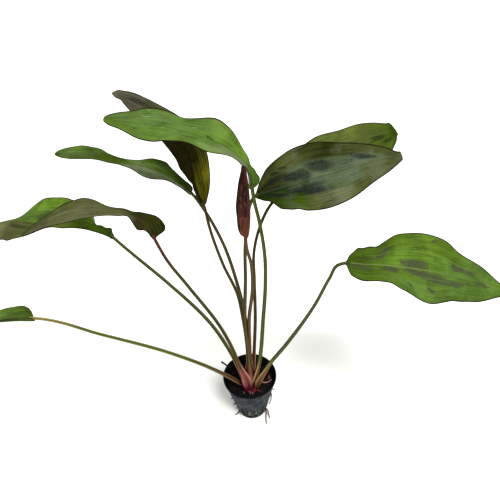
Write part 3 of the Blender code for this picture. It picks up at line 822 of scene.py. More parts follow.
LEAVES = (
    LeafShape(
        name="low_left", slot=Slot.GREEN, ring=7.5, azimuth=192, flare=0.65,
        stem_route=((-24, -10, 73), (-66, -16, 117), (-116, -26, 160.5), (-158, -36, 196.5)),
        rib_route=((-168, -39, 201), (-186, -43, 204), (-208, -45, 202), (-230, -46, 195)),
        left_width=(1.5, 4, 8, 10, 11, 7, 1), right_width=(3, 21, 19, 14, 11, 7, 1),
        roll=(22,), left_fold=(22,), right_fold=(5, 5, 0, -15, -15),
        finish=BladeFinish(
            left=((0.0, FERN),), right=((0.0, FERN), (0.3, GRASS)),
            rib=(0.1, 0.12, 0.02), streak=(0.04, 0.06, 0.002),
        ),
        stem_finish=StemFinish(
            (0.08, 0.042, 0.014), (0.09, 0.075, 0.018), (0.1, 0.115, 0.022), (0.24, 0.2, 0.06),
            foot=(0.07, 0.03, 0.014), shoulder=(0.08, 0.052, 0.016), edge=(0.14, 0.08, 0.04),
        ),
    ),
    LeafShape(
        name="left_back", slot=Slot.GREEN, ring=7.5, azimuth=140, flare=1.1,
        stem_route=((-13.4, -1, 84.5), (-29.5, 4, 127.5), (-64.5, 12, 180), (-88.5, 19, 207.5),
                    (-101, 22, 223.5)),
        rib_route=((-106, 23, 231), (-113, 24.5, 234.6), (-125, 27, 237), (-139, 30, 235.2),
                   (-155, 33, 233.6), (-169, 35, 234.8), (-182, 37, 237), (-194, 38, 235),
                   (-209, 38, 232)),
        left_width=(1.5, 3.8, 7.5, 8.3, 8.6, 5.5, 16, 19.5, 13.8, 9.6, 1),
        right_width=(1.5, 2.3, 2, 10.5, 20.2, 27.5, 27.6, 20.2, 13, 8, 1),
        lobes=(Lobe(1, 0.145, 2.6), Lobe(1, 0.25, -4.2, 0.025), Lobe(-1, 0.65, 2.4)),
        left_fold=(10, 5, 5, -12, -20, -20), right_fold=(35, 35, 35, 34, 30, 17, 5, -28, -44, -42, -40),
        finish=BladeFinish(
            left=((0.0, FERN), (0.3, DEEP_GREEN_AND_PAINTED_SHADE), (0.45, MEADOW), (0.65, DRAB), (0.85, KHAKI), (1.0, MEADOW)),
            right=((0.0, FERN), (0.35, DEEP_GREEN_AND_PAINTED_SHADE), (0.6, GRASS)), right_outer=((0.0, FERN), (0.4, LIME)),
            rib=(0.02, 0.04, 0.002), rib_share=0.5, blotch=(0.03, 0.03, 0.012), streak=(0.01, 0.015, 0.001),
            blotches=(Blotch(0.55, 0.25, 8, 3.2, -8, 0.4), Blotch(0.72, -0.3, 7, 2.6, 20, 0.4),
                      # The last blotch, a thin dark line along the midrib near the joint, is a painted
                      # shadow in the fold.
                      Blotch(0.61, -0.42, 5.5, 2.4, 0, 0.4), Blotch(0.17, 0.06, 9, 0.9, 0, 0.4)),
        ),
        stem_finish=StemFinish(
            SALMON, OLIVE, (0.055, 0.065, 0.012), (0.06, 0.075, 0.015), shoulder=(0.09, 0.065, 0.012),
        ),
    ),
    LeafShape(
        name="left_arched", slot=Slot.OLIVE, ring=9, azimuth=240, flare=1.85,
        stem_route=((-10.8, -9, 97.5), (-20, -10, 137.5), (-42.5, -13, 198), (-53.5, -15, 227),
                    (-59, -16, 249.5)),
        rib_route=((-62, -16, 262), (-70, -17, 272), (-84, -19, 277), (-105.5, -24, 280),
                   (-124, -29, 279), (-142, -34, 273)),
        left_width=(1.5, 1.5, 3.5, 6.5, 6, 14, 19, 13, 6.5, 2.5, 1),
        right_width=(1.5, 10, 10.5, 5.5, 7, 16, 13, 8, 6, 3.5, 1),
        lobes=(Lobe(1, 0.05, 1.5), Lobe(1, 0.34, -2.0), Lobe(1, 0.45, -1.2), Lobe(1, 0.53, 1.8, 0.04),
               Lobe(-1, 0.27, 2.0, 0.04), Lobe(-1, 0.365, -3.0, 0.025), Lobe(-1, 0.55, 2.0, 0.04)),
        face=(0.7, 0, 1), roll=(-60, -58, -30, 0, 0, 0, 0),
        left_fold=(0, 0, 0, 14, 33, 33, 33, 33, 33, 33, 33),
        right_fold=(0, 0, 0, -12, -28, -8, 4, -4, -20, -30, -30),
        finish=BladeFinish(
            left=((0.2, BARK), (0.3, KHAKI)), right=((0.2, LODEN), (0.35, DRAB), (0.7, KHAKI), (1.0, DRAB)),
            right_outer=((0.2, LODEN), (0.5, DRAB)),
            streak=(0.012, 0.012, 0.002), streak_share=0.25, vein=(0.13, 0.13, 0.06),
            rib=(0.06, 0.035, 0.02),
            through=(0.12, 0.13, 0.01), under=((0.0, (0.06, 0.055, 0.025)), (1.0, (0.06, 0.055, 0.025))),
            grain=0.7, painted_sheen=(0.16, 0.16, 0.09), painted_sheen_share=0.2,
        ),
        stem_finish=StemFinish(PINK, BROWN, (0.05, 0.045, 0.012), (0.09, 0.026, 0.016), shoulder=RUST),
    ),
    LeafShape(
        name="upper_left", slot=Slot.GREEN, ring=3.6, azimuth=98, flare=1.4,
        stem_route=((1, 6, 89.5), (0, 12, 130), (-5, 20, 168), (-14, 29, 205.5), (-26, 37, 233),
                    (-35, 41, 248)),
        rib_route=((-49, 44, 261), (-69, 48, 271), (-92, 51, 276), (-114, 53, 284), (-137, 54, 285)),
        left_width=(1.5, 2, 6, 7, 16, 9, 11, 19, 12, 5.5, 1),
        right_width=(1.5, 6, 7.5, 11, 14.5, 8.5, 11.5, 15.5, 8.5, 4.5, 1),
        lobes=(Lobe(-1, 0.35, 0.8), Lobe(-1, 0.54, -2.6), Lobe(-1, 0.67, 2.5, 0.04), Lobe(1, 0.34, 2.0),
               Lobe(1, 0.45, -1.6), Lobe(1, 0.64, 2.5), Lobe(1, 0.7, -1.2)),
        left_fold=(10, 10, 8, 22, 10, 6), right_fold=(10, 6, 0, -12, 0, 2),
        finish=BladeFinish(
            left=((0.45, PALE_GREEN_AND_PAINTED_SHEEN), (0.58, DEEP_GREEN_AND_PAINTED_SHADE), (0.7, DEEP_GREEN_AND_PAINTED_SHADE), (0.85, FERN)),
            right=((0.3, FERN), (0.44, GRASS), (0.58, DEEP_GREEN_AND_PAINTED_SHADE), (0.7, DEEP_GREEN_AND_PAINTED_SHADE), (0.85, GRASS)),
            streak=(0.03, 0.05, 0.01), streak_share=0.2, vein=(0.16, 0.19, 0.1), specks=0.12,
            painted_sheen=(0.2, 0.23, 0.14), painted_sheen_share=0.15,
        ),
        stem_finish=StemFinish(PINK, BROWN, (0.06, 0.06, 0.014), (0.06, 0.075, 0.02)),
    ),
    LeafShape(
        name="dark_back", slot=Slot.MAROON, ring=3.6, azimuth=160, flare=1.5,
        stem_route=((0, 2, 90), (-1.5, 7, 129), (-4.5, 11, 158.5), (-14.5, 16, 191), (-22.5, 23, 227),
                    (-25, 28, 244.5)),
        rib_route=((-30, 33, 259.5), (-31, 38, 270), (-34, 43, 285), (-43, 52, 301), (-62, 64, 313.5),
                   (-87, 74, 322)),
        left_width=(1.5, 1.5, 2, 6, 10, 13, 14.5, 11, 6, 3, 1),
        right_width=(1.5, 4.5, 11, 13, 15, 13.5, 10.5, 10, 10.5, 7, 1),
        lobes=(Lobe(-1, 0.25, -2.2), Lobe(-1, 0.35, 1.2), Lobe(1, 0.93, 1.6, 0.04), Lobe(-1, 0.83, -1.2)),
        face=(0.2, -0.4, 1), roll=(0, -20, -25, -25), left_fold=(10,),
        right_fold=(10, 0, -15, -35, -45, -45),
        finish=BladeFinish(
            left=((0.0, BARK), (0.3, NEAR_BLACK_AND_PAINTED_SHADE), (0.66, NEAR_BLACK_AND_PAINTED_SHADE), (0.8, TAUPE)),
            right=((0.1, MUSTARD), (0.3, NEAR_BLACK_AND_PAINTED_SHADE), (0.66, NEAR_BLACK_AND_PAINTED_SHADE), (0.8, TAUPE)),
            right_outer=((0.2, MUSTARD), (0.35, LODEN), (0.6, LODEN), (0.8, TAUPE)),
            grain=0.8, streak=(0.004, 0.002, 0.001), streak_share=0.35,
            blotch=(0.016, 0.011, 0.007), blotches=(Blotch(0.84, 0.12, 7, 3.4, 0, 0.4),),
            vein=(0.05, 0.045, 0.006), vein_share=0.3, rib=(0.006, 0.004, 0.001),
            through=(0.15, 0.12, 0.003),
            through_share=0.05, under=((0.0, (0.04, 0.025, 0.015)), (1.0, (0.05, 0.035, 0.025))),
        ),
        stem_finish=StemFinish(PINK, BROWN, (0.06, 0.05, 0.014), (0.08, 0.045, 0.02)),
    ),
    LeafShape(
        name="top", slot=Slot.GREEN, ring=3.6, azimuth=345, flare=1.1,
        stem_route=((12, -9, 99), (16, -9, 144.5), (19.5, -10, 191.5), (20, -11, 218), (17, -13, 256),
                    (14, -14, 277), (13.4, -14, 284.5)),
        rib_route=((13.6, -14, 290), (13.4, -14, 295.5), (11.5, -13.5, 302.5), (7.2, -12.5, 308.3),
                   (-1.8, -10.5, 315.8), (-14.3, -8, 321.8), (-28.6, -5, 326.3), (-38.9, -3, 328.8),
                   (-54.5, 0, 331), (-73.8, 2, 333.6), (-77.9, 2, 334.6)),
        left_width=(1, 0.8, 1.2, 8, 19, 18.4, 17, 16, 8.6, 5, 1),
        right_width=(1, 5.4, 4.5, 7.2, 14, 15.8, 17, 12.6, 8.1, 4.2, 1),
        lobes=(Lobe(-1, 0.25, -1.6, 0.025), Lobe(-1, 0.35, 1.6), Lobe(-1, 0.55, 1.5), Lobe(-1, 0.65, -1.2),
               Lobe(1, 0.15, 1.6), Lobe(1, 0.25, -2.6)),
        face=(0.6, -0.3, 1), roll=(-28, -28, -10, 0, 0, 0, 0),
        left_fold=(10, 10, 30, 22, 10, 8, 8), right_fold=(0, 0, 8, 3, 2, 8, 8),
        ruffles=(Ruffle(-1, 0.35, 2.5, 0.04), Ruffle(-1, 0.44, -3.2), Ruffle(-1, 0.64, -4.5, 0.06),
                 Ruffle(1, 0.32, -2.5), Ruffle(1, 0.45, 4.2), Ruffle(1, 0.57, -4.0), Ruffle(1, 0.69, 2.4)),
        finish=BladeFinish(
            left=((0.0, FERN), (0.2, PALE_GREEN_AND_PAINTED_SHEEN), (0.4, GRASS), (0.8, GRASS), (1.0, LIME)),
            left_outer=((0.0, FERN), (0.2, PALE_GREEN_AND_PAINTED_SHEEN), (0.55, LIME), (0.75, GRASS), (1.0, LIME)),
            right=((0.0, FERN), (0.2, LIME), (0.35, LIME), (0.5, GRASS)),
            # The top blade's dark rib colour is painted shadow along the midrib, between its halves.
            streak=(0.04, 0.08, 0.012), rungs=0.12, vein=(0.2, 0.28, 0.12), rib=(0.05, 0.09, 0.025),
            specks=0.12, blotch=(0.02, 0.03, 0.006), painted_sheen=(0.24, 0.3, 0.16), painted_sheen_share=0.12,
            blotches=(Blotch(0.42, 0.08, 3.5, 0.6, 20, 0.4), Blotch(0.58, -0.7, 2.6, 0.5, 20, 0.4),
                      Blotch(0.24, 0.3, 1.2, 0.7, 0, 0.5), Blotch(0.3, 0.6, 0.8, 0.5, 0, 0.5)),
            flecks=(Blotch(0.8, 0.5, 2, 0.3, 8, 0.4), Blotch(0.81, 0.85, 1, 0.3, 0, 0.4),
                    Blotch(0.53, 0.35, 1.6, 0.3, -20, 0.4), Blotch(0.68, -0.1, 1.2, 0.3, 10, 0.4)),
        ),
        stem_finish=StemFinish(
            (0.14, 0.08, 0.02), (0.075, 0.08, 0.008), MOSS, MOSS, shoulder=(0.09, 0.075, 0.006),
        ),
    ),
    LeafShape(
        name="young", slot=Slot.MAROON, ring=0.0, azimuth=0, flare=1.0,
        stem_route=((2.5, -1.5, 106), (4, -2.5, 141), (9, -4, 182), (9, -5.5, 210), (6.5, -7, 227.5),
                    (6.5, -7, 238.5)),
        rib_route=((8, -7, 248), (10, -6, 270), (10, -4, 284), (9, -2, 297)),
        left_width=(1.2, 5.8, 8.2, 9, 6.4, 2.8, 0.6), right_width=(1.2, 5.4, 7.6, 8.2, 6, 2.6, 0.6),
        face=(-1, 0, 0), left_fold=(86,), right_fold=(80,), left_curl=(70,), right_curl=(78,), ripple=0.1,
        finish=BladeFinish(
            left=((0.0, RUSSET), (0.4, WINE)), right=((0.0, RUSSET), (0.4, WINE)),
            under=((0.0, RUSSET), (0.35, WINE)),
            grain=1.3, painted_sheen=(0.2, 0.08, 0.07), painted_sheen_share=0.35, vein=(0.12, 0.04, 0.03),
            through=(0.15, 0.03, 0.005), through_share=0.04, roughness=0.45, gloss=0.08,
        ),
        stem_finish=StemFinish(PINK, RUST, (0.085, 0.045, 0.014), (0.1, 0.05, 0.02)),
    ),
    LeafShape(
        name="right_front", slot=Slot.OLIVE, ring=4.6, azimuth=280, flare=2.2,
        stem_route=((0.5, -4.5, 98), (0, -2, 135), (3.5, 3, 183.5), (5.5, 4, 220.5), (9.5, 5, 251.5),
                    (15.5, 4, 266)),
        rib_route=((26.5, 3, 270.5), (41, 1, 275.5), (57.5, -1, 281.5), (73.5, -4, 287),
                   (93.5, -8, 295.5), (113.5, -12, 299)),
        left_width=(1.5, 3, 14, 22, 25.5, 24.5, 19.5, 13, 8.5, 4, 1),
        right_width=(1.5, 4, 9, 17, 23, 25, 22, 16, 10, 4, 1),
        roll=(38,), left_fold=(6,), right_fold=(6,),
        lobes=(Lobe(1, 0.2, -1.0), Lobe(1, 0.27, 1.3), Lobe(1, 0.36, -1.2, 0.02), Lobe(-1, 0.93, 1.6, 0.04)),
        finish=BladeFinish(
            left=((0.15, LODEN), (0.35, GREEN_WITH_PAINTED_SHEEN), (0.8, GREEN_WITH_PAINTED_SHEEN), (1.0, DRAB)),
            left_outer=((0.0, LODEN), (0.25, DRAB), (0.55, LODEN), (0.7, DRAB)),
            right=((0.3, PINE), (0.65, GREEN_WITH_PAINTED_SHEEN), (0.8, DRAB)),
            right_outer=((0.1, PINE), (0.3, DEEP_GREEN_AND_PAINTED_SHADE), (0.5, KHAKI), (0.6, KHAKI), (0.7, DRAB)),
            grain=0.5, streak=(0.003, 0.004, 0.001), streak_share=0.6, vein=(0.1, 0.12, 0.06),
            rib=(0.06, 0.08, 0.035), blotch=(0.009, 0.009, 0.012), blotch_share=0.9, comb=1.0, rounded=True,
            painted_sheen=(0.15, 0.18, 0.14), painted_sheen_share=0.3,
            blotches=(
                Blotch(0.32, -0.2, 10, 3.8, 12, 0.4), Blotch(0.37, -0.17, 5, 5, 0, 0.4),
                Blotch(0.49, -0.32, 9, 4.6, 10, 0.5), Blotch(0.79, -0.36, 7.5, 3.4, 20, 0.5),
                Blotch(0.36, 0.25, 14, 2.8, -4, 0.5), Blotch(0.43, 0.36, 8, 3, 0, 0.5),
                Blotch(0.12, 0.04, 15, 2.6, 0, 0.4), Blotch(0.15, 0.3, 12, 2.4, 6, 0.4),
                Blotch(0.12, -0.28, 10, 2.2, -6, 0.4), Blotch(0.2, -0.57, 3.4, 1.2, 30, 0.4),
                Blotch(0.26, -0.62, 3.2, 1.2, 30, 0.4), Blotch(0.15, -0.5, 3.4, 1.2, 30, 0.4),
            ),
        ),
        stem_finish=StemFinish((0.15, 0.045, 0.03), BROWN, (0.065, 0.05, 0.014), (0.05, 0.055, 0.012)),
    ),
    LeafShape(
        name="right_back", slot=Slot.GREEN, ring=3.6, azimuth=40, flare=1.0,
        stem_route=((6.5, 5, 89), (9.5, 9, 128.5), (11, 14, 172), (12.5, 17, 203.5), (20, 21, 229.5),
                    (26, 22, 242), (30, 24, 246.5)),
        rib_route=((41, 27, 256), (59, 30, 266.5), (86, 36, 277.5), (109.5, 42, 283.5), (127, 46, 287)),
        left_width=(1.5, 6, 12, 18, 22, 24, 20, 18, 14, 8, 1),
        right_width=(1.5, 10, 19, 23, 24, 22.5, 20, 17, 13, 7, 1),
        roll=(22,), left_fold=(6,), right_fold=(6,),
        lobes=(Lobe(-1, 0.93, 3.0, 0.05), Lobe(1, 0.79, 1.5), Lobe(1, 0.92, -1.6, 0.04)),
        finish=BladeFinish(
            left=((0.0, DRAB), (0.5, MEADOW), (0.8, MEADOW), (1.0, DEEP_GREEN_AND_PAINTED_SHADE)),
            right=((0.0, DRAB), (0.6, MEADOW), (1.0, DEEP_GREEN_AND_PAINTED_SHADE)),
            vein=(0.18, 0.22, 0.08), blotch=(0.014, 0.022, 0.005), streak_share=0.2,
            blotches=(Blotch(0.86, -0.06, 4, 2.8, 10, 0.4), Blotch(0.93, 0.3, 3.6, 2.4, 20, 0.4)),
        ),
        stem_finish=StemFinish((0.15, 0.045, 0.03), RUST, (0.06, 0.045, 0.01), (0.05, 0.04, 0.008)),
    ),
    LeafShape(
        name="right_low", slot=Slot.GREEN, ring=7.5, azimuth=328, flare=1.3,
        stem_route=((19, -9, 80.5), (36, -10, 112), (61, -12, 166.5), (70.5, -13, 194.5),
                    (76.5, -13, 208), (82.5, -14, 210.5)),
        rib_route=((95, -16, 210), (111.5, -18, 209), (129.5, -22, 208), (151.5, -27, 205.5),
                   (177, -33, 200.5), (205, -40, 193)),
        left_width=(1.5, 7, 12.5, 18, 27.5, 28.5, 18.5, 12, 4.5, 2, 1),
        right_width=(1.5, 9, 14, 14, 19, 26.5, 20, 16.5, 9, 4, 1),
        roll=(28,), left_fold=(5,), right_fold=(5,),
        ruffles=(Ruffle(-1, 0.36, 2.0, 0.04), Ruffle(-1, 0.55, 2.0, 0.04), Ruffle(1, 0.75, 2.0, 0.04)),
        lobes=(Lobe(-1, 0.05, -1.5), Lobe(-1, 0.16, 2.2), Lobe(-1, 0.28, -1.8, 0.025), Lobe(-1, 0.35, 1.2),
               Lobe(-1, 0.55, 0.8), Lobe(1, 0.11, 0.9), Lobe(1, 0.35, -1.4), Lobe(1, 0.62, 0.9)),
        finish=BladeFinish(
            left=((0.1, FERN), (0.3, LIME), (0.45, LIME), (0.65, GRASS)),
            left_outer=((0.2, FERN), (0.35, LIME), (0.6, FERN), (0.75, GRASS)),
            right=((0.2, FERN), (0.55, GRASS)), right_outer=((0.15, FERN), (0.4, GRASS)),
            streak=(0.025, 0.04, 0.002), vein=(0.16, 0.27, 0.05), vein_share=0.4, rungs=0.32, grain=0.35,
            rib=(0.22, 0.27, 0.1), rib_share=0.6, blotch=(0.058, 0.055, 0.038), blotch_share=1.0,
            blotches=(
                Blotch(0.245, -0.52, 6.5, 2.8, -52), Blotch(0.15, -0.3, 8, 0.9, 4, 0.3),
                Blotch(0.39, -0.14, 9, 3.2), Blotch(0.46, -0.15, 4, 2.8, 10),
                Blotch(0.1, 0.22, 8.5, 2.4, 14), Blotch(0.27, 0.2, 7, 3.2, 14),
                Blotch(0.42, 0.14, 8, 2.6, 16), Blotch(0.58, 0.26, 17, 3.2, 10),
                Blotch(0.7, -0.3, 8, 3.4, 2), Blotch(0.82, 0.12, 6, 2.2, 34),
                Blotch(0.43, 0.68, 4, 1.1, 40, 0.4), Blotch(0.54, 0.58, 4, 1.2, 40, 0.4),
                Blotch(0.55, -0.84, 3, 0.7, -20, 0.4),
            ),
        ),
        stem_finish=StemFinish(
            (0.2, 0.1, 0.04), (0.075, 0.08, 0.02), (0.06, 0.07, 0.018), (0.055, 0.06, 0.015),
            foot=(0.2, 0.085, 0.035), shoulder=(0.12, 0.1, 0.03), edge=(0.26, 0.17, 0.08),
        ),
    ),
)


@dataclass
class Leaf:
    """A stalk and its blade."""

    shape: LeafShape
    crown: Vector = field(default_factory=lambda: Vector((0.5, -6.0, 48.3)) * MM)
    stem_radius: float = 1.8 * MM
    foot_share: float = 0.62
    flare_peak: float = 10 * MM
    flare_end: float = 46 * MM
    flare_depth: float = 0.12
    clasp: float = 0.55
    slimming: float = 0.3
    flutes: int = 4
    flute_depth: float = 0.05
    overlap: float = 3 * MM
    least_reach: float = 0.5 * MM
    blade_thickness: float = 0.42 * MM
    edge_thickness: float = 0.26 * MM
    keel_depth: float = 1.9 * MM
    keel_width: float = 1.15 * MM
    groove_depth: float = 0.3 * MM
    groove_width: float = 0.8 * MM
    quilts: int = 4
    quilt_depth: float = 0.22 * MM
    right_phase: float = 0.37
    marginless: tuple[float, float] = (3.0, 1.6)

    def __post_init__(self) -> None:
        """Lay the path up the stalk and on along the midrib."""
        angle = math.radians(self.shape.azimuth)
        ring = self.shape.ring * MM
        base = self.crown + Vector((ring * math.cos(angle), ring * math.sin(angle), 0))
        route = [Vector(point) * MM for point in self.shape.stem_route + self.shape.rib_route]
        self.path = SmoothPath([base, *route])
        self.joint = self.path.starts[len(self.shape.stem_route)]
        self.blade_length = self.path.total - self.joint

    def _row(self, rank: float) -> tuple[Vector, Vector, Vector, float]:
        """Place, face direction, right-hand direction and share of length on the midrib."""
        share = 0.5 - 0.5 * math.cos(math.pi * rank)
        place, heading = self.path.at(self.joint + self.blade_length * share)
        face, right = side_frame(heading, Vector(self.shape.face))
        angle = math.radians(reading(self.shape.roll, rank))
        turned_face = face * math.cos(angle) + right * math.sin(angle)
        turned_right = right * math.cos(angle) - face * math.sin(angle)
        return place, turned_face, turned_right, share

    def _blade_point(self, row: tuple[Vector, Vector, Vector, float], rank: float,
                     across: float) -> tuple[Vector, float]:
        """A point of the blade's upper face.

        Args:
            row: What _row gives at the rank.
            rank: The rank along the blade.
            across: From -1 at the left edge to 1 at the right edge.

        Returns:
            The point, and the half blade's whole reach there.
        """
        place, face, right, share = row
        shape = self.shape
        on_right = across > 0
        reach = reading(shape.right_width if on_right else shape.left_width, rank)
        for lobe in shape.lobes:
            if on_right == (lobe.side > 0):
                reach += lobe.reach * math.exp(-(((rank - lobe.at) / lobe.spread) ** 2))
        reach = max(reach * MM, self.least_reach)
        curl = math.radians(reading(shape.right_curl if on_right else shape.left_curl, rank)) or 0.001
        fold = math.radians(reading(shape.right_fold if on_right else shape.left_fold, rank)) - 0.5 * curl
        out = abs(across)
        sideways = reach * (math.sin(fold + curl * out) - math.sin(fold)) / curl
        up = reach * (math.cos(fold) - math.cos(fold + curl * out)) / curl
        calm = min(1.0, 6 * min(rank, 1 - rank))
        phase = shape.phase + (self.right_phase if on_right else 0.0)
        up += shape.ripple * MM * out**2 * calm * math.sin(FULL_TURN * (shape.ripples * share + phase))
        for ruffle in shape.ruffles:
            if on_right == (ruffle.side > 0):
                up += ruffle.lift * MM * out**2 * math.exp(-(((rank - ruffle.at) / ruffle.spread) ** 2))
        up += self.quilt_depth * calm * (1 - math.cos(FULL_TURN * self.quilts * out)) * 0.5
        up -= self.groove_depth * calm * math.exp(-((out * reach / self.groove_width) ** 2))
        return place + right * (math.copysign(sideways, across)) + face * up, reach

    def _edge_distance(self, across: float, reach: float) -> float:
        """The distance to the edge in millimetres, kept large where a half is too narrow for a margin."""
        widest, narrowest = self.marginless
        return (1 - abs(across)) * max(reach, 4.0) + 3 * smooth_step(widest, narrowest, reach)

    def build_blade(self) -> bpy.types.Object:
        """The blade, a sheet laid along the midrib with a keel below it."""
        shape = bmesh.new()
        new_layer = shape.verts.layers.float.new
        names = ("across", "along", "rib", "edge")
        across_layer, along_layer, rib_layer, edge_layer = map(new_layer, names)
        down_layer = shape.verts.layers.float_vector.new("down")
        bmesh.ops.create_grid(shape, x_segments=BLADE_COLUMNS, y_segments=BLADE_ROWS, size=1)
        rows: dict[int, tuple[Vector, Vector, Vector, float]] = {}
        for point in shape.verts:
            rank = 0.5 * (point.co.y + 1)
            key = round(rank * BLADE_ROWS)
            if key not in rows:
                rows[key] = self._row(rank)
            across = point.co.x * (MIDRIB_CROWDING + (1 - MIDRIB_CROWDING) * abs(point.co.x))
            point.co, reach = self._blade_point(rows[key], rank, across)
            point[across_layer] = across
            point[along_layer] = rows[key][3]
            point[rib_layer] = abs(across) * reach / MM
            point[edge_layer] = self._edge_distance(across, reach / MM)
        bmesh.ops.recalc_face_normals(shape, faces=shape.faces[:])
        shape.normal_update()
        facing = Vector(rows[BLADE_ROWS // 2][1])
        lean = sum((face.normal for face in shape.faces), Vector()).dot(facing)
        if lean < 0:
            bmesh.ops.reverse_faces(shape, faces=shape.faces[:])
            shape.normal_update()
        for point in shape.verts:
            point[down_layer] = -point.normal
        made = bmesh.ops.extrude_face_region(shape, geom=shape.faces[:], use_keep_orig=True)
        lower = {item for item in made["geom"] if isinstance(item, bmesh.types.BMVert)}
        for point in lower:
            depth = self.edge_thickness
            depth += (self.blade_thickness - self.edge_thickness) * smooth_step(0, 1.5, point[edge_layer])
            taper = 1 - 0.8 * smooth_step(0, 1, point[along_layer])
            width = self.keel_width / MM * (0.4 + 0.6 * taper)
            depth += self.keel_depth * taper**1.5 * math.exp(-((point[rib_layer] / width) ** 2))
            point.co += Vector(point[down_layer]) * depth
        for face in shape.faces:
            face.material_index = int(all(point in lower for point in face.verts))
        name = self.shape.name
        sizes = (self.blade_length / MM, max(*self.shape.left_width, *self.shape.right_width))
        finish = self.shape.finish
        materials = (finish.face(name + "_face", *sizes), finish.back(name + "_back", *sizes))
        return put_in_scene(shape, "blade_" + name, materials, self.shape.slot, "leaf_" + name)

    def build_stem(self) -> bpy.types.Object:
        """The stalk, narrow at its foot and wide where its sheath clasps the crown."""
        shape = bmesh.new()
        for name in ("share", "turn", "reach"):
            shape.verts.layers.float.new(name)
        end = self.joint + self.overlap
        outward = self.path.points[0] - self.crown
        hint = outward if outward.length > MM else Vector((0, -1, 0))

        def surface(along: float, around: float) -> tuple[Vector, dict[str, float]]:
            """A point of the stalk's skin."""
            distance = end * along
            place, heading = self.path.at(distance)
            out, right = side_frame(heading, hint)
            rise = self.foot_share + (1 - self.foot_share) * smooth_step(0, self.flare_peak, distance)
            fall = smooth_step(self.flare_end, self.flare_peak, distance)
            slim = self.stem_radius * (1 - self.slimming * smooth_step(0, self.joint, distance))
            wide = slim * rise * (1 + self.shape.flare * fall)
            deep = slim * rise * (1 + self.flare_depth * fall)
            angle = FULL_TURN * around
            flute = 1 + self.flute_depth * math.cos(self.flutes * angle)
            bend = -self.clasp * self.shape.flare * fall * wide * math.sin(angle) ** 2
            skin = out * (math.cos(angle) * deep * flute + bend) + right * (math.sin(angle) * wide * flute)
            return place + skin, {"share": along, "turn": abs(2 * around - 1), "reach": distance / MM}

        add_tube(shape, STALK_ROWS, STALK_COLUMNS, surface)
        name = self.shape.name
        material = self.shape.stem_finish.material(name + "_stalk")
        return put_in_scene(shape, "stalk_" + name, (material,), Slot.STEM, "stem_" + name)


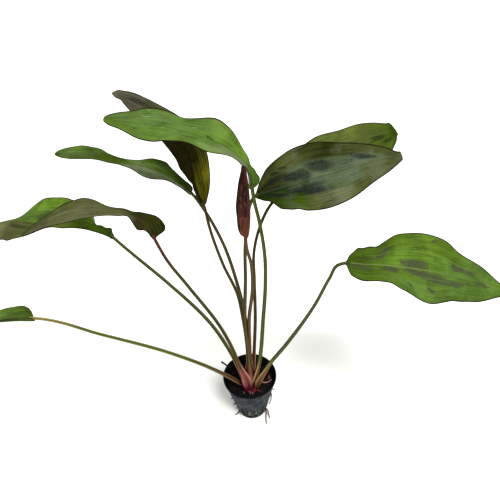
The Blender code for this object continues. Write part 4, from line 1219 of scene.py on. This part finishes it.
@dataclass
class NetPot:
    """The black net pot, a thin cup with a lip, slots in its lower half and one small hole."""

    height: float = 55 * MM
    foot_radius: float = 14.8 * MM
    top_radius: float = 25.9 * MM
    lip_radius: float = 26.5 * MM
    lip_height: float = 1.8 * MM
    wall: float = 1.1 * MM
    floor: float = 1.6 * MM
    slots: int = 16
    cells: int = 12
    slot_cells: int = 6
    slot_width: float = 3.2 * MM
    slot_bottom: float = 2.4 * MM
    slot_top: float = 22 * MM
    nick: Place = (4.0 * MM, -20.7 * MM, 32.0 * MM)
    nick_half_width: float = 1.75 * MM
    nick_half_height: float = 2.1 * MM
    slot_rings: int = 10
    foot_rings: tuple[float, ...] = (0.6 * MM, 1.5 * MM)
    nick_rings: tuple[float, ...] = (-1, -0.4, 0.4, 1)
    upper_rings: tuple[float, ...] = (37 * MM, 42 * MM, 46 * MM, 50 * MM, 52.6 * MM)
    clear_of_slots: float = 28 * MM
    lip_round: float = 0.4 * MM
    edge_round: float = 0.18 * MM

    @property
    def slope(self) -> float:
        """How much the wall's radius grows with height."""
        return (self.top_radius - self.foot_radius) / (self.height - self.lip_height)

    def wall_radius(self, height: float) -> float:
        """The outer radius of the wall at a height."""
        return self.foot_radius + self.slope * height

    def material(self) -> bpy.types.Material:
        """Black plastic, scuffed and dusty outside."""
        paint = Paint("pot_plastic")
        x, y, height = paint.axes(paint.place())
        radial = paint.distance(paint.vector(x, y))
        inner, outer = self.foot_radius - 0.7 * MM, self.foot_radius - 0.3 * MM
        outside = (radial - height * self.slope).eased(inner, outer)
        dust = (paint.noise(130, 5.0).eased(0.4, 0.6) * 0.8 + 0.2) * height.eased(0.0535, 0.051) * outside
        colour = paint.mix((0.004, 0.005, 0.006), (0.04, 0.05, 0.059), dust)
        warm = paint.noise(230, 4.0).eased(0.55, 0.75) * outside
        colour = paint.mix(colour, (0.05, 0.034, 0.04), warm * 0.5)
        chalk = paint.noise(500, 4.0).eased(0.62, 0.75) * outside
        colour = paint.mix(colour, (0.1, 0.11, 0.105), chalk * 0.35)
        rough = paint.noise(300, 3.0) * 0.2 + 0.45
        return paint.finish(Base_Color=colour, Roughness=rough, Specular_IOR_Level=0.03,
                            Normal=paint.bump(paint.noise(600, 4.0), 0.12 * MM))

    def _profile(self) -> list[tuple[float, float]]:
        """The radius and height of each ring, from the middle of the foot up to the lip."""
        slot_height = self.slot_top - self.slot_bottom
        heights = [*self.foot_rings, self.slot_bottom]
        shares = [(i + 1) / self.slot_rings for i in range(self.slot_rings)]
        heights += [self.slot_bottom + slot_height * share for share in shares]
        heights += [self.clear_of_slots]
        heights += [self.nick[2] + self.nick_half_height * share for share in self.nick_rings]
        heights += self.upper_rings
        lip_foot = self.height - self.lip_height
        foot = [(0.0, 0.0), (self.foot_radius * 0.5, 0.0), (self.foot_radius - self.foot_rings[0], 0.0)]
        lip = [(self.lip_radius - 0.15 * MM, lip_foot), (self.lip_radius, lip_foot + self.lip_round),
               (self.lip_radius, self.height - self.lip_round), (self.lip_radius - 0.3 * MM, self.height)]
        return foot + [(self.wall_radius(height), height) for height in heights] + lip

    def build(self) -> bpy.types.Object:
        """The pot: a profile spun round, with the openings' faces taken out, and a wall's thickness."""
        shape = bmesh.new()
        spin_profile(shape, self._profile(), self.slots * self.cells)
        middles = {face: face.calc_center_median() for face in shape.faces}
        gone = [face for face, middle in middles.items() if self._in_slot(middle) or self._in_nick(middle)]
        bmesh.ops.delete(shape, geom=gone, context="FACES")
        for point in shape.verts:
            self._straighten(point)
        bmesh.ops.recalc_face_normals(shape, faces=shape.faces[:])
        if min(shape.faces, key=lambda face: face.calc_center_median().z).normal.z > 0:
            bmesh.ops.reverse_faces(shape, faces=shape.faces[:])
        pot = put_in_scene(shape, "pot", (self.material(),), Slot.POT, "net_pot", closed=False)
        solid = pot.modifiers.new("wall", "SOLIDIFY")
        solid.thickness = self.wall
        solid.offset = -1
        bevel = pot.modifiers.new("soft edges", "BEVEL")
        bevel.width = self.edge_round
        bevel.segments = 2
        bevel.limit_method = "ANGLE"
        return pot

    def _in_slot(self, middle: Vector) -> bool:
        """Whether a face's middle lies in a slot."""
        if not self.slot_bottom < middle.z < self.slot_top:
            return False
        return abs(self._turn(middle)[1]) < self.slot_cells / self.cells / 2

    def _in_nick(self, middle: Vector) -> bool:
        """Whether a face's middle lies in the small oval hole above the slots."""
        away = middle - Vector(self.nick)
        if middle.y > 0:
            return False
        return math.hypot(away.x / self.nick_half_width, away.z / self.nick_half_height) < 1

    def _turn(self, place: Vector) -> tuple[float, float]:
        """The middle of the nearest slot, and the place's offset from it, in slot pitches."""
        turn = math.atan2(place.y, place.x) / FULL_TURN * self.slots
        middle = math.floor(turn) + 0.5
        return middle, turn - middle

    def _straighten(self, point: bmesh.types.BMVert) -> None:
        """Move a point of the wall round the axis so that the slots have straight sides."""
        radius = math.hypot(point.co.x, point.co.y)
        if radius < self.foot_radius or point.co.z > self.slot_top + 8 * MM:
            return
        middle, offset = self._turn(point.co)
        edge = self.slot_cells / self.cells / 2
        wanted = 0.5 * self.slot_width / radius / FULL_TURN * self.slots
        ease = smooth_step(self.slot_top + 6 * MM, self.slot_top, point.co.z)
        wanted = edge + (wanted - edge) * ease
        out = abs(offset)
        moved = out / edge * wanted if out < edge else wanted + (out - edge) / (0.5 - edge) * (0.5 - wanted)
        angle = (middle + math.copysign(moved, offset)) * FULL_TURN / self.slots
        point.co.x = radius * math.cos(angle)
        point.co.y = radius * math.sin(angle)


@dataclass
class Medium:
    """The plug of fibrous growing medium."""

    pot: NetPot
    top: float = 45.5 * MM
    dome: float = 1.2 * MM
    gap: float = 0.35 * MM
    lumps: float = 1.1 * MM
    rings: int = 30
    steps: int = 120
    wool_end: float = 26 * MM

    def material(self) -> bpy.types.Material:
        """Near-black wet peat on top, and paler mineral wool down the sides."""
        paint = Paint("medium_fibre")
        height = paint.height()
        reddish = paint.noise(420, 5.0).eased(0.5, 0.72)
        peat = paint.mix((0.002, 0.002, 0.002), (0.007, 0.002, 0.002), reddish)
        wool = paint.mix((0.4, 0.37, 0.25), (0.012, 0.012, 0.006), paint.noise(240, 5.0).eased(0.5, 0.62))
        ragged = height + (paint.noise(150) - 0.5) * (8 * MM)
        colour = paint.mix(wool, peat, ragged.eased(self.wool_end - 2 * MM, self.wool_end + 2 * MM))
        return paint.finish(Base_Color=colour, Roughness=paint.noise(500) * 0.3 + 0.55,
                            Specular_IOR_Level=0.1, Normal=paint.bump(paint.noise(900, 5.0), 0.7 * MM))

    def surface_height(self, x: float, y: float) -> float:
        """The height of the lumpy top at a place."""
        near = math.hypot(x, y) / (self.pot.wall_radius(self.top) - self.pot.wall)
        lump = noise.noise(Vector((x, y, 0.0)) * 330) + 0.5 * noise.noise(Vector((x, y, 3.0)) * 800)
        return self.top + self.dome * (1 - near * near) + self.lumps * 0.5 * lump

    def build(self) -> bpy.types.Object:
        """The plug, spun from its profile and then given its lumps."""
        shape = bmesh.new()
        inset = self.pot.wall + self.gap
        bottom = self.pot.floor + self.gap
        rim = self.pot.wall_radius(self.top) - inset
        profile = [(rim * i / self.rings, self.top) for i in range(self.rings + 1)]
        sides = [self.top + (bottom - self.top) * i / self.rings for i in range(1, self.rings + 1)]
        profile += [(self.pot.wall_radius(height) - inset, height) for height in sides]
        spin_profile(shape, [*profile, (0.0, bottom)], self.steps)
        for point in shape.verts:
            if point.co.z > self.top - 0.01 * MM:
                point.co.z = self.surface_height(point.co.x, point.co.y)
            elif point.co.z > bottom + 0.01 * MM:
                push = 0.5 * noise.noise(point.co * 500) - 0.4
                flat = Vector((point.co.x, point.co.y, 0)).normalized()
                point.co += flat * (push * MM)
        return put_in_scene(shape, "medium", (self.material(),), Slot.MEDIUM, "growing_medium")


@dataclass
class Crown:
    """The short red rootstock, with what grows from it beside the leaves."""

    centre: Vector = field(default_factory=lambda: Vector((0.5, -6.0, 43.0)) * MM)
    radius: float = 8.4 * MM
    half_height: float = 4.8 * MM

    def material(self) -> bpy.types.Material:
        """Crimson tissue, darker where it meets the medium."""
        paint = Paint("crown_tissue")
        red = paint.mix((0.16, 0.008, 0.022), (0.03, 0.003, 0.005), paint.noise(300, 4.0).eased(0.4, 0.65))
        colour = paint.mix((0.012, 0.005, 0.004), red, paint.height().eased(0.0455, 0.047))
        return paint.finish(Base_Color=colour, Roughness=paint.noise(300) * 0.2 + 0.35,
                            Specular_IOR_Level=0.15, Normal=paint.bump(paint.noise(500, 4.0), 0.3 * MM))

    def build(self) -> None:
        """The lumpy dome, its stipule and its bud."""
        shape = bmesh.new()
        bmesh.ops.create_icosphere(shape, subdivisions=5, radius=1)
        for point in shape.verts:
            lump = 1 - 0.05 * abs(noise.noise(point.co * 3)) - 0.03 * abs(noise.noise(point.co * 9))
            sizes = Vector((self.radius, self.radius, self.half_height))
            point.co = self.centre + point.co * lump * sizes
        put_in_scene(shape, "rootstock", (self.material(),), Slot.CROWN, "crown")
        stipule = Strand(((2.5, -11.5, 47.6), (6.5, -13, 47.3), (9.5, -13.8, 46.9), (12.4, -14.2, 46.6)),
                         1.25, 0.15, 16, 10)
        bud = Strand(((-2.5, -12, 48.5), (-1.5, -14.2, 48), (1.5, -14.8, 47.6), (4.5, -13.6, 47.4)),
                     1.7, 0.5, 16, 10)
        put_strands("stipules", (stipule, bud), self.material(), Slot.CROWN)


@dataclass
class Roots:
    """The main roots outside the pot, and the finer ones on and through it."""

    pot: NetPot
    medium: Medium
    fibres: int = 300
    slot_hairs: int = 9
    seed: int = 7

    def material(self, name: str, tone: Colour, dark: Colour) -> bpy.types.Material:
        """Root skin, blotched with a darker tone."""
        paint = Paint(name)
        colour = paint.mix(tone, dark, paint.noise(600, 3.0).eased(0.4, 0.65))
        return paint.finish(
            Base_Color=colour, Roughness=paint.noise(500) * 0.2 + 0.4, Specular_IOR_Level=0.15,
            Normal=paint.bump(paint.noise(1200, 3.0), 0.1 * MM),
        )

    def build_main(self) -> None:
        """The three main roots, which run from the slots to the table."""
        roots = {
            "root_right_long": (
                ((12.6, -8.4, 5.4), (14.4, -10.8, 4), (13.6, -14.5, 2.2), (13.3, -18.5, 1),
                 (13.5, -22.5, 0.7)),
                (0.16, 0.07, 0.04), (0.05, 0.02, 0.014)),
            "root_right_short": (
                ((13.1, -8.8, 8.6), (15.7, -10.6, 6.4), (16.6, -13, 2.6), (17.2, -16.3, 0.7)),
                (0.05, 0.02, 0.014), (0.015, 0.007, 0.005)),
            "root_left": (
                ((-12.6, -8.4, 5.4), (-14.8, -9.6, 4.2), (-16.6, -9.6, 2), (-18.6, -9, 0.7)),
                (0.012, 0.01, 0.008), (0.005, 0.004, 0.004)),
        }
        for name, (route, tone, dark) in roots.items():
            skin = self.material(name + "_skin", tone, dark)
            root = Strand(route, 0.75, 0.6, 28, 12)
            put_strands(name.replace("root_", "main_root_"), (root,), skin, Slot.ROOT, name)

    def build_pale(self) -> None:
        """The pink root and the white tips on the medium."""
        skin = self.material("pink_root_skin", (0.5, 0.26, 0.22), (0.32, 0.13, 0.11))
        put_strands("pink_root", (
            Strand(((11, -3, 47.2), (13.5, -4.8, 47.6), (17, -4.8, 47.8), (20, -3.4, 48.4),
                    (21.2, -2.4, 49)), 0.6, around=8),
            Strand(((19, 3, 47.4), (19.4, 0.4, 47.9), (18.6, -1.4, 47.6)), 0.35, along=10),
        ), skin, Slot.ROOT)
        level = 46
        tips = []
        for x, y, tall in ((-0.6, -15.6, 3.6), (1.8, -15.4, 2.4), (-6.6, -14.2, 3.4)):
            route = ((x, y - 0.6, level), (x + 0.15, y - 0.8, level + tall * 0.5),
                     (x - 0.1, y - 0.8, level + tall))
            tips.append(Strand(route, 0.34, along=10, around=8))
        skin = self.material("white_tip_skin", (0.6, 0.52, 0.52), (0.4, 0.28, 0.3))
        put_strands("white_root_tips", tips, skin, Slot.ROOT)

    def build_dark(self) -> None:
        """The dark twig over the rim, and the dark roots that cling to the wall."""
        skin = self.material("dark_root_skin", (0.012, 0.009, 0.008), (0.004, 0.003, 0.003))
        put_strands("dark_roots", (
            Strand(((-28, 16, 58.4), (-22, 11.8, 56.2), (-17.7, 8.4, 51), (-14.4, 4.5, 46.6)), 0.95),
            Strand(((19.6, -9.6, 38), (20.2, -9.4, 33), (19.9, -9.6, 28), (19.2, -8.8, 21),
                    (17.6, -8.8, 15)), 0.7, 0.6),
            Strand(((20.8, -9.2, 43), (22.6, -8.8, 41), (24.4, -8.2, 39)), 0.45, along=10, around=5),
            Strand(((-17.2, -8.6, 30), (-19.4, -8.2, 29), (-21, -7.6, 28)), 0.9, along=10, around=5),
            Strand(((-16.4, -8.4, 20), (-18.2, -8.2, 19), (-19, -8, 17.4)), 0.9, along=10, around=5),
        ), skin, Slot.ROOT)

    def _fibres(self, draw: random.Random) -> Iterator[Strand]:
        """Fibres that lie on the medium."""
        rim = self.pot.wall_radius(self.medium.top) / MM
        for _ in range(self.fibres):
            angle = draw.uniform(0, FULL_TURN)
            out = (rim - 3) * math.sqrt(draw.random())
            heading = draw.uniform(0, FULL_TURN)
            length = draw.uniform(2, 6)
            spots = []
            for step in range(4):
                x = out * math.cos(angle) + length * step / 3 * math.cos(heading + 0.5 * step)
                y = out * math.sin(angle) + length * step / 3 * math.sin(heading + 0.5 * step)
                level = self.medium.surface_height(x * MM, y * MM) / MM
                spots.append((x, y, level + draw.uniform(0.05, 0.7)))
            if max(math.hypot(spot[0], spot[1]) for spot in spots) < rim - 1.6:
                yield Strand(spots, draw.uniform(0.08, 0.22), 0.45, 5, 4)

    def _hairs(self, draw: random.Random) -> Iterator[Strand]:
        """Root hairs that hang out of the slots."""
        for slot in range(self.pot.slots):
            for _ in range(self.slot_hairs):
                turn = (slot + 0.5 + draw.uniform(-0.2, 0.2)) / self.pot.slots * FULL_TURN
                height = draw.uniform(5, 26)
                wall = self.pot.wall_radius(height * MM) / MM
                drop = draw.uniform(0.5, 3.5)
                swing = draw.uniform(-0.08, 0.08)
                spots = [(wall - 1.8, 0.0, height), (wall - 0.4, swing * 0.3, height - drop * 0.2),
                         (wall + draw.uniform(0.2, 0.7), swing * 0.7, height - drop * 0.6),
                         (wall + draw.uniform(0.1, 1.2), swing, max(height - drop * 1.2, 0.4))]
                route = [(out * math.cos(turn + side), out * math.sin(turn + side), level)
                         for out, side, level in spots]
                yield Strand(route, draw.uniform(0.12, 0.34), 0.4, 6, 4)

    def build_fine(self) -> None:
        """Fibres on the medium and root hairs in the slots, scattered by one seeded draw."""
        draw = random.Random(self.seed)
        skin = self.material("fibre_skin", (0.026, 0.007, 0.006), (0.006, 0.004, 0.004))
        put_strands("medium_fibres", self._fibres(draw), skin, Slot.ROOT)
        skin = self.material("hair_skin", (0.01, 0.008, 0.006), (0.003, 0.003, 0.003))
        put_strands("root_hairs", self._hairs(draw), skin, Slot.ROOT)


@dataclass(frozen=True)
class Lamp:
    """A distant soft lamp: how strong, how far right of the front, how high and how wide, in degrees."""

    name: str
    strength: float
    turn: float
    height: float
    width: float

    def hang(self) -> None:
        """Hang the lamp."""
        data = bpy.data.lights.new(self.name, "SUN")
        data.energy = self.strength
        data.angle = math.radians(self.width)
        thing = bpy.data.objects.new(self.name, data)
        thing.rotation_euler = (math.radians(90 - self.height), 0.0, math.radians(self.turn))
        bpy.context.scene.collection.objects.link(thing)


@dataclass
class Studio:
    """A plain pale floor, soft light and the camera, whose place is in millimetres.

    The floor glows a little behind the plant, where the upper leaves' shadows would fall: painted light that
    washes them out.
    """

    camera_place: Place = (9, -297, 473)
    look_down: float = 40.6
    lean: float = 4.0
    lens: float = 36.0
    sky: float = 0.5
    floor_tone: Colour = (0.97, 0.975, 0.93)
    glow_from: float = 85 * MM
    glow_full: float = 125 * MM
    glow_share: float = 0.1
    glow_strength: float = 0.3
    lamps: tuple[Lamp, ...] = (
        Lamp("key", 2.75, 32.0, 61.0, 20.0),
        Lamp("fill", 0.45, -40.0, 75.0, 50.0),
    )

    def build(self) -> None:
        """Lay the floor, hang the lights and set the camera."""
        self._floor()
        self._lights()
        self._camera()

    def _floor(self) -> None:
        """A wide pale floor, with painted light behind the plant."""
        shape = bmesh.new()
        bmesh.ops.create_grid(shape, x_segments=2, y_segments=2, size=6)
        mesh = bpy.data.meshes.new("floor")
        shape.to_mesh(mesh)
        shape.free()
        paint = Paint("floor_white")
        # Painted light: the floor's own glow, strongest behind the plant, washes out the shadows that fall
        # there.
        back = paint.axes(paint.place())[1]
        behind = back.eased(self.glow_from, self.glow_full)
        glow = paint.mix((self.glow_share,) * 3, (1.0, 1.0, 1.0), behind)
        mesh.materials.append(paint.finish(
            Base_Color=self.floor_tone, Roughness=0.9, Specular_IOR_Level=0.05,
            Emission_Color=glow, Emission_Strength=self.glow_strength,
        ))
        floor = bpy.data.objects.new("floor", mesh)
        bpy.context.scene.collection.objects.link(floor)

    def _lights(self) -> None:
        """A pale sky, a soft key lamp from the right and a weak, wider one from the left."""
        world = bpy.data.worlds.new("pale sky")
        bpy.context.scene.world = world
        world.use_nodes = True
        glow = world.node_tree.nodes["Background"]
        glow.inputs["Color"].default_value = (1.0, 1.0, 1.0, 1.0)
        glow.inputs["Strength"].default_value = self.sky
        for lamp in self.lamps:
            lamp.hang()
        bpy.context.scene.view_settings.view_transform = "Standard"

    def _camera(self) -> None:
        """The camera, at the photo's viewing angle."""
        data = bpy.data.cameras.new("camera")
        data.lens = self.lens
        data.sensor_width = 36.0
        thing = bpy.data.objects.new("camera", data)
        turn = Matrix.Rotation(math.radians(90 - self.look_down), 4, "X")
        roll = Matrix.Rotation(math.radians(-self.lean), 4, "Z")
        thing.matrix_world = Matrix.Translation(Vector(self.camera_place) * MM) @ turn @ roll
        bpy.context.scene.collection.objects.link(thing)
        bpy.context.scene.camera = thing


def main() -> None:
    """Build every piece round the frame, then the studio."""
    logging.basicConfig(level=logging.INFO, format="%(name)s %(message)s")
    Studio().build()
    pot = NetPot()
    medium = Medium(pot)
    pot.build()
    medium.build()
    Crown().build()
    for shape in LEAVES:
        leaf = Leaf(shape)
        leaf.build_stem()
        leaf.build_blade()
    roots = Roots(pot, medium)
    roots.build_main()
    roots.build_pale()
    roots.build_dark()
    roots.build_fine()


if __name__ == "__main__":
    main()
